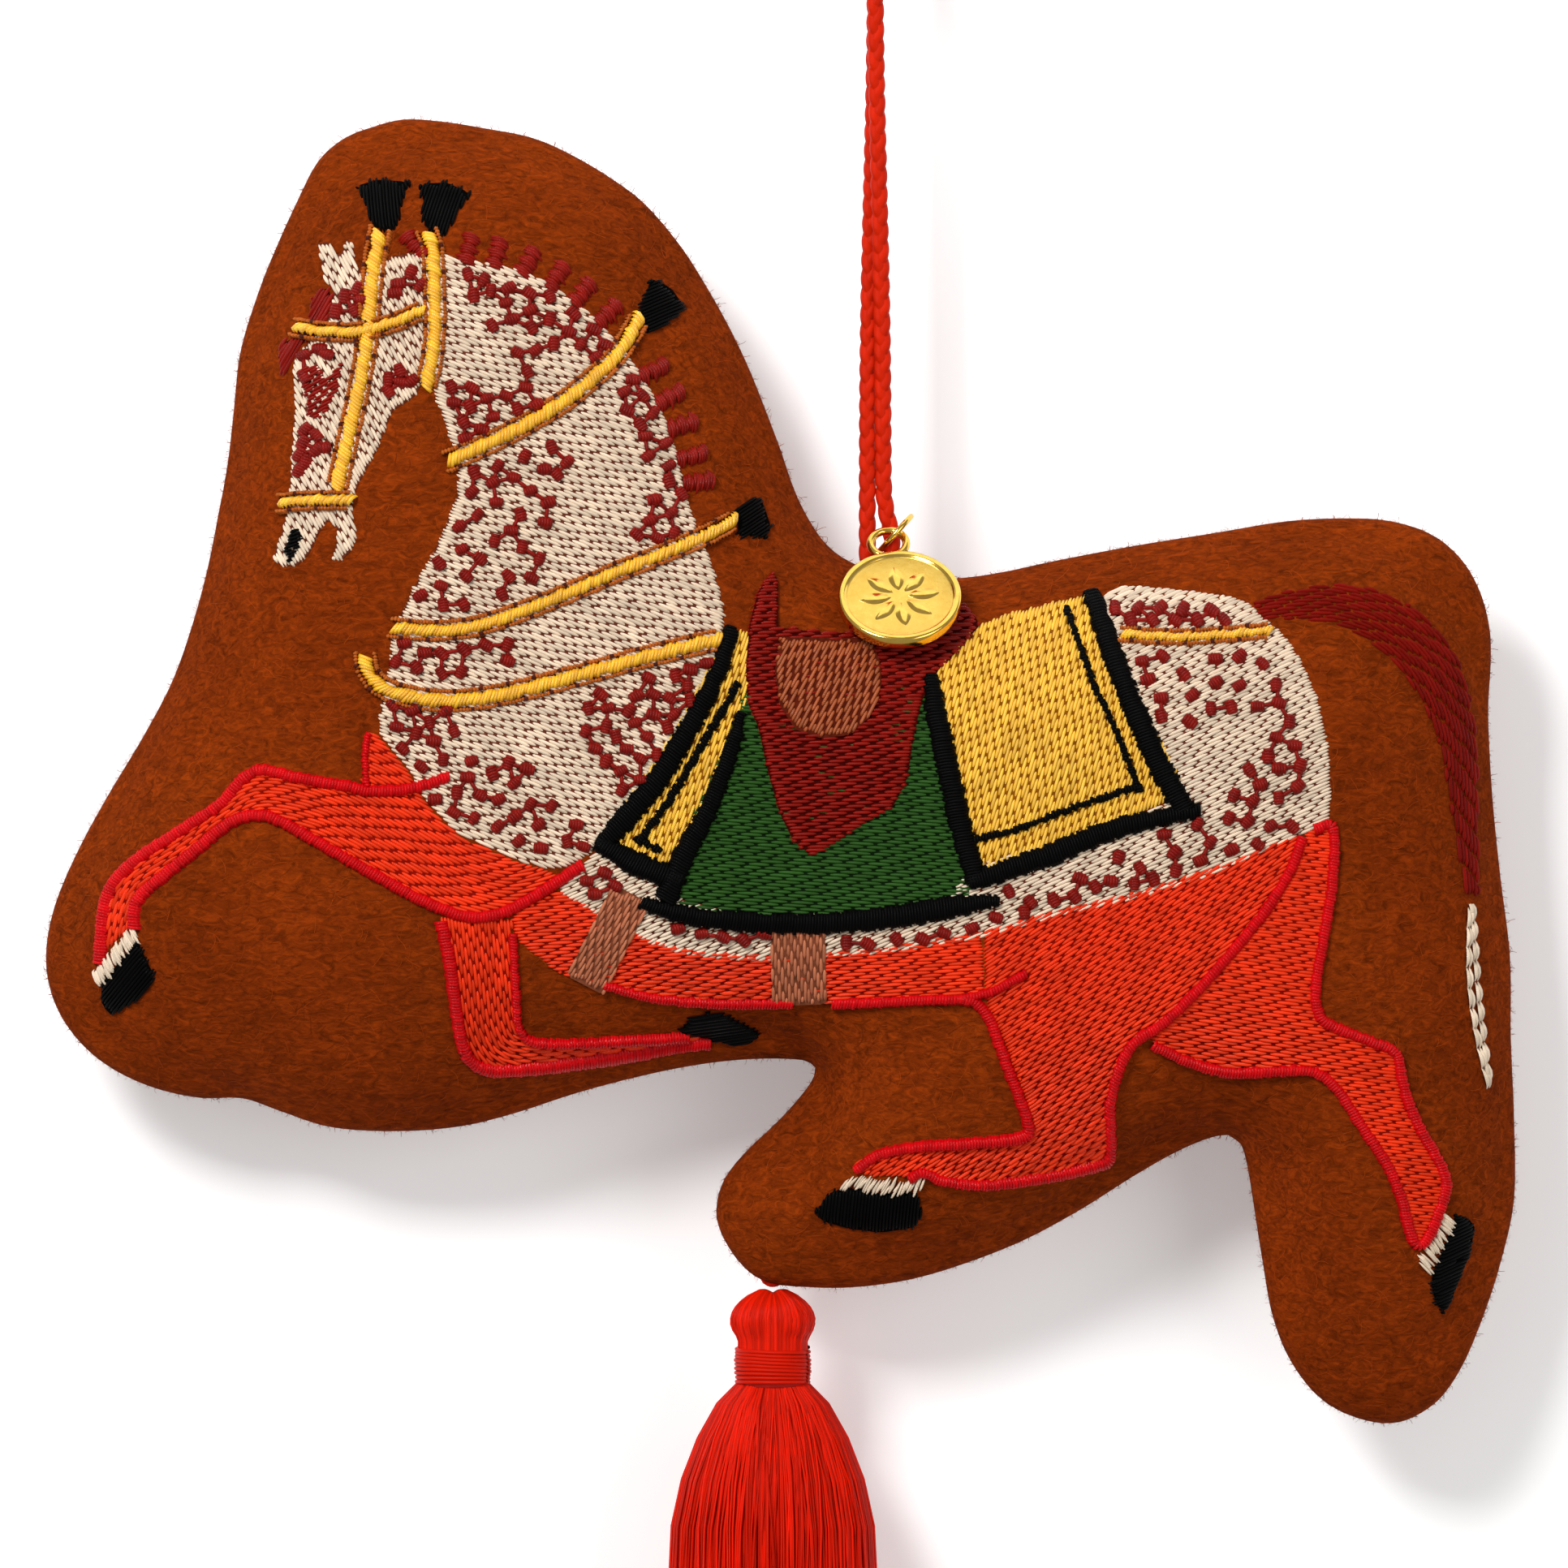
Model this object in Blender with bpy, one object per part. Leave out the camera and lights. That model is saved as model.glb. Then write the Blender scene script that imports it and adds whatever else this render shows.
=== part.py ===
"""A flat hanging ornament: a stuffed wool-felt horse with machine embroidery on its front, a doubled cord
to hang it by, a gold tag on a jump ring, and a thread tassel.

The drawing is made of (x, z) points in millimetres, seen from the front. Its zero is the top seam of the
felt beside the cord. World axes: X to the right, Z up, front face towards -Y. The world's origin is the
place in the cord's eye where a hook holds it.
"""

import math

import bmesh
import bpy
import numpy as np
from mathutils import Matrix, Vector
from mathutils.geometry import delaunay_2d_cdt

MM = 0.001

# sizes, in millimetres
FELT = 1.5  # thickness of each felt panel
SEAM_GAP = 0.3  # between the two panels
CLEAR = 0.3  # between any other two pieces
HALF_THICK = 14.5  # the stuffed body's half thickness at its middle
EDGE_ROLL = 20.0  # how far in from the edge the body reaches that thickness
SOFTEN = 6.0  # how much the roll evens out where two edges are near
THREAD = 0.5  # thickness of one layer of embroidery
EDGE_ROOM = 0.068  # extra room under the stitches where the edge rolls over, as a share of HALF_THICK
DROP = 88.0  # from the hook down to the top seam
CORD_X = -0.6  # the cord's place along the back, in the drawing
CORD_D = 1.8  # diameter of each leg of the cord, drawn tight
LEG_SPACING = 2.5  # between the centre lines of the two legs
EYE_R = 5.0  # radius of the eye's centre line
EYE_NECK = 9.0  # height over which the legs open into the eye
CORD_IN = 2.0  # how far the cord goes into the seam
KNOT_R = 3.0
TAG_R = 7.6  # the tag's disc
TAG_T = 1.8
BAIL_R = 2.2  # centre line of the tag's bail
BAIL_WIRE = 1.0  # its diameter
TAG_STAND = 1.1  # least room between the tag and the felt it leans on
TAG_LAYERS = 2  # layers of thread under the tag's lower half
BARE = -7.0  # above this height there is bare felt under the tag
TAG_TURN = 8.0  # degrees the tag hangs askew
BAIL_AT = (1.0, -3.9, 3.1)  # the bail's centre
RING_R = 2.85  # centre line of the jump ring
RING_WIRE = 0.7  # its diameter
RING_AT = (1.9, -1.3, 4.4)  # its centre
RING_RISE = 48.0  # degrees its right side is lifted
LEG_BOW = 1.1  # how far the ring holds the right leg of the cord out
TASSEL_X = -13.3  # the tassel's place along the bottom edge, in the drawing
HEAD_R = 4.9
HEAD_H = 7.6
BINDING_R = 4.6
BINDING_H = 4.0
SKIRT_R = 13.2
SKIRT_H = 62.0
FLATTEN = 0.75  # the tassel's depth as a share of its width
LOOP_R = 1.3
LOOP_WIRE = 0.7

# the stuffed body's outline
BODY = [
    (-59, 55.7), (-54, 55.4), (-49, 54.6), (-43, 53.4), (-38, 51.2), (-33, 48.2), (-29, 45.1),
    (-24.7, 40), (-21.5, 35), (-18.7, 30), (-16.3, 25), (-14.3, 20), (-12.4, 15), (-10.8, 10.3),
    (-9.3, 7), (-6.8, 3.2), (-3.5, 0.8), (1, -0.7), (6, -1.2), (11, -1), (16, -0.2), (21.5, 1),
    (31.5, 2.9), (41.5, 4.5), (50, 5.9), (57, 6.3), (63, 6), (68.3, 4.3), (72, 1.2), (74.3, -2.8),
    (75.5, -7.5), (75.6, -12), (75.3, -18), (75.8, -28), (76.8, -38), (78, -48), (78.1, -58),
    (78.5, -68), (78.5, -78), (76.8, -86), (74.5, -93), (71.9, -99), (68.7, -103.3), (64, -105.7),
    (59, -105.1), (54.4, -102.6), (50.8, -98), (48.6, -92.5), (47.4, -86), (46.3, -79), (45.5, -74),
    (44.6, -71), (43, -70), (40, -70.7), (36, -72.5), (31, -75.4), (25, -79.2), (18, -83), (11, -85.8),
    (4, -87.9), (-3, -88.9), (-9, -88.9), (-14, -88.3), (-17.3, -86), (-19.8, -82), (-20.3, -79),
    (-19.3, -75.5), (-16.5, -72), (-13, -68.7), (-10.3, -65.8), (-8.2, -63), (-8, -61.4), (-9.5, -60.8),
    (-13, -60.6), (-18, -60.8), (-24, -61.6), (-31, -63.1), (-38, -65), (-45, -67.3), (-52, -69),
    (-60, -69.6), (-68, -69.1), (-74, -67.2), (-79, -65.5), (-84, -65.5), (-90, -64.2), (-95.5, -61.6),
    (-99.6, -58), (-102.3, -53.5), (-103.3, -48.2), (-102.3, -42), (-99.4, -35), (-95.6, -28),
    (-91.4, -21), (-87.7, -14), (-85.2, -7), (-83.3, 0), (-82, 6.5), (-80.8, 13), (-80, 20), (-79.2, 27),
    (-76.9, 34.5), (-74.7, 40), (-72.2, 45.5), (-69.6, 50.5), (-66.3, 53.4), (-63, 54.7),
]

# areas filled with stitches: name, how many layers are under it, colour, outline
FILLS = [
    ("coat_head", 0, "ivory", [
        (-69.2, 40), (-68.2, 40.2), (-67, 38.3), (-66.3, 38.7), (-65.8, 40.3), (-65.1, 40.2),
        (-64.8, 38), (-63.8, 36), (-61.5, 37.4), (-59.5, 38.4), (-56.6, 38.6), (-55.3, 38), (-55.3, 30),
        (-55.6, 24), (-57.2, 21), (-60, 19.2), (-62, 14.2), (-64.2, 10.2), (-64.9, 8), (-64.9, 6),
        (-64.4, 4.2), (-65, 2), (-66.3, 0.9), (-67.4, 1), (-66.7, 3.2), (-66.7, 4.8), (-67.5, 6.1),
        (-68.5, 5.2), (-69.3, 3.8), (-70.2, 1.8), (-71.5, 0.4), (-73.2, 0.1), (-74.7, 1), (-74.3, 2.6),
        (-73.6, 4.3), (-73.1, 6.4), (-72.6, 9.5), (-72.4, 14), (-72, 20), (-72.3, 25), (-71.8, 26.2),
        (-70.2, 28), (-68.2, 30), (-67.4, 32.2), (-67.2, 34), (-68.5, 36)]),
    ("coat_neck", 0, "ivory", [
        (-54.9, 38.4), (-51, 37.5), (-48, 37.1), (-45, 36.4), (-42, 35.2), (-39, 33.3), (-36, 31.1),
        (-34, 29.3), (-32.5, 27.5), (-31, 25.7), (-29.5, 23.6), (-28, 21), (-26.5, 17.8), (-25.3, 14.5),
        (-24.5, 11), (-23.8, 8), (-22.5, 4), (-21.3, 1.5), (-20, -2.5), (-19.3, -6), (-19.6, -9),
        (-20.8, -12.5), (-22.6, -16), (-24.8, -20), (-28, -24.8), (-31, -29), (-33.8, -32.8),
        (-35.6, -34.8), (-38, -36.4), (-40.5, -36.8), (-45, -35.6), (-48, -34.3), (-51.5, -32.7),
        (-54, -30.3), (-56.8, -27), (-57.5, -25), (-59.5, -22.6), (-61.4, -20.3), (-61.4, -18),
        (-61.2, -16), (-60.2, -12), (-60, -9), (-58.5, -5), (-57, -2), (-55, 1.5), (-53.4, 5),
        (-52, 8.5), (-51.7, 11), (-52.3, 14.5), (-53.5, 18), (-54.5, 20.5), (-54.9, 24)]),
    ("coat_body", 0, "ivory", [
        (-38.4, -39.6), (-36.6, -38), (-34.6, -36.8), (-33, -37), (-31.5, -38.3), (-28, -42),
        (-25, -43), (-18, -43.8), (-10, -44), (0, -43.6), (8, -42.4), (11.5, -41.6), (13.2, -39.8),
        (14, -38), (20, -35.8), (28, -32.8), (36, -29.8), (37.5, -27.5), (33.5, -20), (30.5, -14),
        (28.2, -7.5), (27.5, -3.6), (31, -3.2), (36, -3.6), (41, -4.2), (44.5, -4.9), (47.2, -7.4),
        (49, -9), (51, -12), (52.8, -16.5), (54, -22), (54.3, -28), (54, -30.8), (50, -33),
        (44, -35.4), (37, -37.8), (30, -39.9), (22, -41.6), (17.5, -42.9), (12, -44.4), (6, -45.5),
        (0, -46.4), (-6.5, -46.9), (-13.7, -47.4), (-21, -47), (-25.5, -46.2), (-28.4, -45.2),
        (-31.5, -43.6), (-34, -42.3), (-36, -41)]),
    ("leg_fore_raised", 0, "red", [
        (-63.3, -20.8), (-62.2, -20.4), (-60, -23), (-57.9, -25.5), (-57.2, -27.3), (-54.6, -30.8),
        (-51.8, -33.2), (-48.2, -34.9), (-45, -36.2), (-41.2, -37.3), (-39.2, -38.3), (-43, -41),
        (-47, -42.2), (-50, -42.5), (-55, -41), (-66, -35), (-72, -31.8), (-76.5, -30.2), (-80, -31.5),
        (-85, -35.2), (-91, -39.8), (-92.3, -44), (-95.8, -47.3), (-96, -45), (-95.2, -40), (-93, -37),
        (-86, -32.5), (-80, -28.3), (-77.5, -25.6), (-76, -25.4), (-70, -26.4), (-64, -27.2),
        (-63.3, -25)]),
    ("leg_fore_tucked", 0, "red", [
        (-53.8, -43), (-50.4, -43.1), (-46.9, -42.8), (-45.6, -43.4), (-45.3, -52), (-44.9, -57.2),
        (-43, -58.6), (-35, -58.6), (-24, -57.9), (-21, -58.3), (-24, -59), (-30, -60.2), (-38, -61.3),
        (-46, -61.9), (-50, -61), (-51, -58), (-52, -52), (-53, -47)]),
    ("belly", 0, "red", [
        (-45.2, -42.8), (-43, -41.6), (-39.7, -39.9), (-36.3, -41.5), (-34.2, -42.8), (-31.6, -44.1),
        (-28.6, -45.7), (-25.6, -46.7), (-21, -47.5), (-13.7, -47.9), (-6.5, -47.4), (0, -46.9),
        (6, -46), (12.2, -44.9), (12.6, -51.8), (7, -52.8), (0, -53), (-6, -53.2), (-11.5, -53.3),
        (-20, -53.4), (-28, -52.9), (-33.5, -51.2), (-39.6, -49.6), (-43.5, -46.5), (-45.1, -45)]),
    ("leg_hind_near", 0, "red", [
        (12.7, -44.8), (17.5, -43.4), (22, -42.1), (30, -40.4), (37, -38.3), (44, -35.9), (50, -33.5),
        (51.2, -33), (49.3, -38), (45.6, -43.5), (41.5, -48), (36.5, -53.3), (32.7, -57), (30.3, -58.6),
        (29.3, -62), (28, -67), (28.3, -71.5), (28.8, -72.8), (26, -73.5), (20, -74.7), (13, -75.6),
        (8, -75.2), (5, -74.2), (3, -74.7), (-1, -74.7), (-3.2, -73.9), (0, -71.8), (5, -70.9),
        (12, -70.4), (19, -69.8), (17.5, -65), (15.5, -59), (13.2, -54), (12.9, -52)]),
    ("leg_hind_far", 0, "red", [
        (52.3, -32.4), (54.8, -31.1), (55.5, -31.6), (55.4, -37), (54.7, -44), (53.6, -50),
        (53.2, -54.5), (55, -56), (58.5, -57.8), (63.3, -59.6), (63.4, -62), (64.2, -66),
        (66.5, -70.5), (69.3, -75), (69.4, -77.3), (68.2, -80), (66.4, -83), (65.2, -82),
        (64.4, -78.5), (62.8, -74), (60.5, -70), (57.8, -66), (55, -62.4), (52, -61.2), (48, -61.4),
        (44, -62), (40, -61.3), (36, -59.5), (33.3, -58), (37.1, -54), (42.1, -48.8), (46.5, -43.8),
        (50.2, -38), (51.8, -33.6)]),
    ("hoof_fore_raised", 0, "black", [
        (-91.3, -46), (-90.4, -48), (-89.3, -50.2), (-91.4, -53), (-94.8, -55), (-96, -53.8),
        (-96, -51.6), (-94, -49)]),
    ("hoof_fore_tucked", 0, "black", [
        (-24.8, -56.8), (-23.4, -55.5), (-21.3, -54.9), (-19.3, -55), (-17, -56), (-14.9, -57.2),
        (-15.6, -58.1), (-18.6, -58.5), (-21.3, -57.9)]),
    ("hoof_hind_near", 0, "black", [
        (-7.8, -79.3), (-6, -76.9), (-4, -76.3), (0, -77), (4.2, -76.8), (5.1, -79.4), (4, -81.2),
        (0, -81.8), (-4, -81.3), (-7.2, -80.4)]),
    ("hoof_hind_far", 0, "black", [
        (70.8, -79.7), (72.3, -80), (73.2, -81.3), (72.6, -84.5), (71.5, -87.2), (70, -91),
        (69.1, -91.6), (68.3, -90.3), (67.7, -87.8), (68.6, -85.6), (69.9, -82.3)]),
    ("blanket", 0, "green", [
        (-16.3, -16.5), (-6, -15.6), (5, -15.2), (6.4, -22), (8.3, -30), (10, -37.5), (10.4, -40.3),
        (8, -41.4), (0, -42.4), (-10, -43), (-18, -42.3), (-25.8, -40.4), (-24.4, -36.2),
        (-22, -30), (-19.4, -24.5), (-17.4, -19.4)]),
    ("front_cloth", 0, "gold", [
        (-17, -8.4), (-18.3, -8.6), (-19.4, -11), (-20.4, -12.5), (-22.3, -16), (-24.5, -20),
        (-27.6, -24.8), (-30.6, -29), (-32.4, -33), (-32.4, -34.8), (-28, -36.2), (-25.1, -35.2),
        (-22.8, -31), (-20.2, -25), (-18.1, -19.5), (-17, -14)]),
    ("rear_cloth", 0, "gold", [
        (7.3, -12.5), (12, -7.8), (16, -6.3), (21.7, -4.8), (26, -3.9), (27.5, -7.5), (29.9, -14),
        (33, -20), (36.6, -27.2), (28, -31.2), (20, -34.2), (12.2, -37.2), (10.8, -35), (9.6, -30),
        (8, -22), (6.6, -15)]),
    ("saddle", 1, "maroon", [
        (-13.5, -0.8), (-12.8, -1.6), (-12.7, -7.5), (-6, -8.3), (2, -7.6), (8, -6), (10.6, -4.8),
        (12.3, -7.2), (9.9, -10), (6.8, -13), (5, -16.5), (4, -21), (3.2, -26), (1.5, -29.3),
        (-2, -31.3), (-6.5, -34.3), (-8.7, -35.3), (-10.8, -33.5), (-12.5, -30), (-14, -24.5),
        (-15, -19.8), (-16.4, -16.5), (-16.6, -12), (-16.2, -7), (-15.2, -3)]),
    ("saddle_seat", 2, "tan", [
        (-12.4, -8.7), (-6.5, -8.9), (-1.3, -9), (-0.1, -12), (0, -15), (-1.3, -18.4), (-4, -20.7),
        (-7.5, -21), (-10.5, -20), (-12.5, -17), (-13.1, -12.5)]),
    ("plume_poll_left", 0, "black", [
        (-62.4, 42), (-63.2, 44.5), (-64.4, 47.1), (-62, 47.8), (-58.2, 47.5), (-59.2, 44.2),
        (-59.8, 41.3)]),
    ("plume_poll_right", 0, "black", [
        (-56.1, 42), (-56.2, 44.8), (-56.7, 47.2), (-53.5, 47.4), (-50.6, 46.1), (-52.4, 43.4),
        (-53.9, 40.6)]),
    ("plume_neck_upper", 0, "black", [
        (-28.4, 35.6), (-26, 34.6), (-24.2, 32), (-26.4, 30.2), (-28.7, 28.9), (-29.8, 31)]),
    ("plume_neck_lower", 0, "black", [
        (-17.9, 6.7), (-15, 8.9), (-14.3, 7), (-13.7, 5.2), (-13.8, 4), (-17.6, 3.9), (-17.6, 5.3)]),
    ("forelock", 0, "maroon", [
        (-70.6, 29), (-69.8, 33.3), (-68.2, 34.7), (-67.6, 33.8), (-67.8, 32.3), (-68.6, 30.2),
        (-70.6, 28.2), (-72.2, 26.6), (-73.6, 24), (-74.2, 26.2), (-73.2, 28)]),
    ("nostril", 1, "black", [
        (-71.2, 4.7), (-72.6, 4.1), (-73.3, 2), (-72.7, 0.9), (-71.8, 1.7), (-71, 3.5)]),
    ("mane_upper", 0, "maroon", [
        (-51, 38.2), (-51.6, 42), (-49.8, 42), (-49.6, 38.4), (-48.3, 38), (-47.9, 41.6),
        (-46.1, 41.4), (-46.2, 37.7), (-44.4, 37.2), (-43.8, 40.4), (-42, 40.2), (-42.4, 36.3),
        (-40.6, 35.5), (-39.6, 38.6), (-37.9, 37.8), (-38.6, 34.4), (-37.3, 33.5), (-35.8, 36.6),
        (-34.7, 35.6), (-35.8, 32.4), (-34.6, 31.3), (-32.4, 33.4), (-31.3, 32.6), (-33.2, 30.2),
        (-33.7, 29.7), (-35.9, 31.7), (-38.8, 33.9), (-41.9, 35.8), (-45, 36.9), (-48, 37.6)]),
    ("mane_lower", 0, "maroon", [
        (-29.6, 24.9), (-26.5, 27), (-25.8, 25.4), (-28.3, 22.7), (-27.5, 21.4), (-24.3, 22.9),
        (-23.7, 21.2), (-26.6, 19.3), (-25.9, 17.6), (-22.4, 19), (-22, 17.4), (-25.1, 15.7),
        (-24.6, 13.8), (-20.9, 15.2), (-20.4, 13.6), (-24, 11.8), (-23.9, 10.6), (-20.2, 11.8),
        (-19.8, 10.4), (-23.7, 8.9), (-24.1, 11), (-24.9, 14.6), (-26.1, 17.9), (-27.6, 21.1),
        (-29.1, 23.8)]),
]

# bands of stitches: name, layers under it, colour, width, centre line
BANDS = [
    ("outline_fore_raised", 1, "crimson", 1.3, [
        (-53, -25.7), (-57, -27), (-62, -27.5), (-66, -26.8), (-72, -25.8), (-76, -24.9),
        (-78.5, -26.2), (-81, -29), (-86, -32.4), (-91, -35.6), (-94.4, -38.8), (-95.8, -42),
        (-95.8, -45.6), (-94.2, -46.3), (-92.3, -44.4), (-91.7, -41), (-88, -37.8), (-84, -34.6),
        (-80, -31.4), (-77, -30.5), (-74, -31), (-69, -33.8), (-62, -37.8), (-56, -41),
        (-50.5, -42.9), (-46, -42.2), (-41, -39.4), (-36.8, -36.7)]),
    ("outline_fore_tucked", 1, "crimson", 1.4, [
        (-54, -43.5), (-53, -48), (-52.2, -54), (-51.2, -59.4), (-48.8, -61.6), (-44, -61.7),
        (-38, -61), (-30, -59.9), (-24, -58.8), (-21.3, -58.6)]),
    ("outline_hind_near", 1, "crimson", 1.3, [
        (-5.8, -53.6), (0, -53.4), (7, -53.1), (11.3, -53.3), (13.2, -55.3), (14.3, -58), (15.8, -62),
        (18, -68), (17.5, -70), (12, -70.7), (5, -71.2), (0, -72.2), (-2.6, -73.7), (-1.6, -74.8),
        (1.5, -74.4), (5, -74.5), (8, -75.4), (13, -75.9), (20, -75), (26.5, -73.6), (28.3, -72),
        (28.2, -66), (29.3, -61.5), (31, -58.4), (34.5, -56), (38, -52.8), (43, -47.3), (47.3, -42),
        (50.3, -37), (51.6, -33.4)]),
    ("outline_hind_far", 1, "crimson", 1.3, [
        (53.2, -32.2), (55.1, -31.6), (55.6, -34), (55.2, -40), (54.2, -46), (53.3, -52),
        (53.9, -55.1), (56, -56.6), (60, -58.2), (63.2, -59.7), (64, -63), (65.5, -67.5), (68, -72),
        (69.5, -75.4), (68.9, -78.6), (67.2, -82.6), (65.9, -83.3), (64.9, -81), (64, -77.5),
        (62, -73), (59, -68.5), (56, -64), (53, -61.9), (48, -61.9), (43, -62), (38, -60.7),
        (33.6, -58.7)]),
    ("coronet_fore_raised", 0, "ivory", 0.9, [(-96.8, -50.9), (-95.2, -49.2), (-93.2, -47), (-91.8, -45.2)]),
    ("coronet_hind_near", 0, "ivory", 0.8, [(-4.6, -75.6), (-2, -75.9), (1.4, -76.2), (4.4, -76)]),
    ("coronet_hind_far", 0, "ivory", 1.0, [(70, -79.3), (69.2, -81.6), (67.9, -84), (67.1, -85.8)]),
    ("tail", 0, "maroon", (1.8, 3.6, 5.4, 6.6, 6.0, 4.6, 3.4, 2.2, 1.6), [
        (46, -5.2), (50.5, -4.6), (56, -4.5), (61.5, -6.2), (66, -9.8), (69.2, -14.8), (71.2, -21.5),
        (72, -30), (73, -40.6)]),
    ("tail_tip", 0, "ivory", (1.5, 2.2, 1.8, 0.9), [(72.8, -41.4), (73, -50), (73.8, -57), (75.2, -64.5)]),
    ("blanket_border", 2, "black", 2.2, [
        (-29.4, -41), (-26.5, -42), (-20, -43.2), (-10, -43.8), (0, -43.3), (8, -42.2), (14.8, -41.1)]),
    ("front_cloth_border", 2, "black", (2.0, 2.2, 2.5, 2.8, 3.0, 3.2, 3.0, 2.8, 2.4, 2.0, 1.7, 1.3), [
        (-18.7, -8), (-20.3, -11.5), (-22.3, -16.5), (-25.6, -22), (-29.5, -28), (-33, -33),
        (-32.3, -36.3), (-27.5, -37.2), (-23.4, -35), (-21.2, -30), (-19, -24), (-17.3, -18.8)]),
    ("front_cloth_line", 1, "black", 0.8, [(-17.7, -14.5), (-19.8, -20), (-22.9, -25), (-26.5, -30), (-29, -33.6)]),
    ("rear_cloth_border", 2, "black", 2.6, [
        (6.3, -13.5), (7.2, -18), (8.6, -25), (10, -31), (11.4, -36.6), (14.2, -38.1), (20, -35.9),
        (28, -32.6), (34, -30.6), (36.7, -28.4), (36.2, -25.4), (33.5, -20), (30.6, -14), (28.1, -8),
        (26.4, -3.9)]),
    ("rear_cloth_line", 1, "black", 0.8, [
        (22.3, -5.2), (24.3, -9.5), (26.6, -15), (29, -20), (31.3, -25), (30, -27.3), (26, -28.9),
        (19, -31.5), (12.4, -34)]),
    ("girth_front", 1, "brown", 5.0, [(-30.6, -40), (-32.4, -43.5), (-34.5, -47.6), (-36.4, -51.2)]),
    ("girth_rear", 1, "brown", 6.6, [(-10.2, -43.4), (-10.1, -48.6), (-9.9, -53.6)]),
    ("strap_cheek", 1, "gold", 3.0, [
        (-61.5, 41.6), (-62.1, 38), (-62.5, 34), (-63, 28), (-64, 22), (-65.3, 16), (-66.6, 10.2)]),
    ("strap_throat", 1, "gold", 3.0, [
        (-55.8, 41.3), (-55.1, 39), (-54.8, 35), (-54.7, 30), (-55, 26), (-55.7, 22.6)]),
    ("strap_brow", 2, "gold", 2.6, [(-72, 29.6), (-68.5, 29), (-64, 28.9), (-60, 29.9), (-56.6, 31.3)]),
    ("strap_nose", 2, "gold", 2.6, [(-73.8, 7.9), (-70, 8.2), (-65.4, 8.2)]),
    ("strap_neck_upper", 1, "gold", 3.0, [
        (-53.4, 12.9), (-49, 14.8), (-44, 17.3), (-39, 20.3), (-35, 23.6), (-32, 26.8), (-30.1, 30.2)]),
    ("strap_neck_lower", 1, "gold", 2.8, [
        (-60.2, -7.4), (-55, -7.8), (-50, -7.3), (-44, -5.4), (-38, -3), (-32, -0.4), (-26, 2),
        (-21, 4.2), (-18.6, 5.6)]),
    ("strap_collar", 1, "gold", 3.0, [
        (-63.3, -10.6), (-62.8, -13), (-60.6, -15), (-56, -16.2), (-51, -16.3), (-45, -15.3),
        (-38, -13.5), (-30, -11.3), (-24, -9.8), (-20.4, -9)]),
    ("strap_crupper", 1, "gold", 2.2, [(29.5, -8.3), (36, -8.7), (42, -8.4), (47.3, -7.9)]),
]

COLOURS = {
    "felt": ((0.22, 0.035, 0.006), 0.95, 0.0),
    "fibre": ((0.8, 0.79, 0.76), 0.95, 0.0),
    "ivory": ((0.72, 0.62, 0.48), 0.5, 0.0),
    "red": ((0.70, 0.03, 0.006), 0.45, 0.0),
    "crimson": ((0.56, 0.005, 0.012), 0.45, 0.0),
    "maroon": ((0.15, 0.008, 0.005), 0.5, 0.0),
    "black": ((0.006, 0.006, 0.006), 0.5, 0.0),
    "gold": ((0.74, 0.35, 0.04), 0.45, 0.0),
    "green": ((0.02, 0.07, 0.015), 0.5, 0.0),
    "tan": ((0.35, 0.10, 0.04), 0.5, 0.0),
    "brown": ((0.20, 0.07, 0.03), 0.5, 0.0),
    "cord": ((0.60, 0.012, 0.003), 0.4, 0.0),
    "tassel": ((0.55, 0.010, 0.003), 0.4, 0.0),
    "brass": ((0.84, 0.55, 0.14), 0.15, 1.0),
}

for old in list(bpy.data.objects):
    bpy.data.objects.remove(old)


def colour(node, kind):
    """A material of the node's own."""
    base, rough, metal = COLOURS[kind]
    material = bpy.data.materials.new(node)
    material.use_nodes = True
    shader = material.node_tree.nodes["Principled BSDF"]
    shader.inputs["Base Color"].default_value = (*base, 1)
    shader.inputs["Roughness"].default_value = rough
    shader.inputs["Metallic"].default_value = metal
    material.diffuse_color = (*base, 1)
    return material


def add(name, mesh_or_curve, kind, origin=(0, 0, 0)):
    """Put the piece in the scene with its own material. Its points are in world metres, and its origin moves."""
    node = bpy.data.objects.new(name, mesh_or_curve)
    bpy.context.scene.collection.objects.link(node)
    mesh_or_curve.materials.append(colour(name, kind))
    mesh_or_curve.transform(Matrix.Translation(-Vector(origin)))
    node.location = origin
    return node


def solid(name, points, faces, kind, origin=(0, 0, 0)):
    """A closed mesh from points in world metres, facing out."""
    mesh = bpy.data.meshes.new(name)
    mesh.from_pydata([tuple(p) for p in points], [], faces)
    shape = bmesh.new()
    shape.from_mesh(mesh)
    bmesh.ops.recalc_face_normals(shape, faces=shape.faces)
    if shape.calc_volume(signed=True) < 0:
        bmesh.ops.reverse_faces(shape, faces=shape.faces)
    shape.to_mesh(mesh)
    shape.free()
    return add(name, mesh, kind, origin)


def world(x, y, z):
    """World metres from drawing x and z and a depth y, all in millimetres."""
    return ((x - CORD_X) * MM, y * MM, (z - DROP) * MM)


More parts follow.
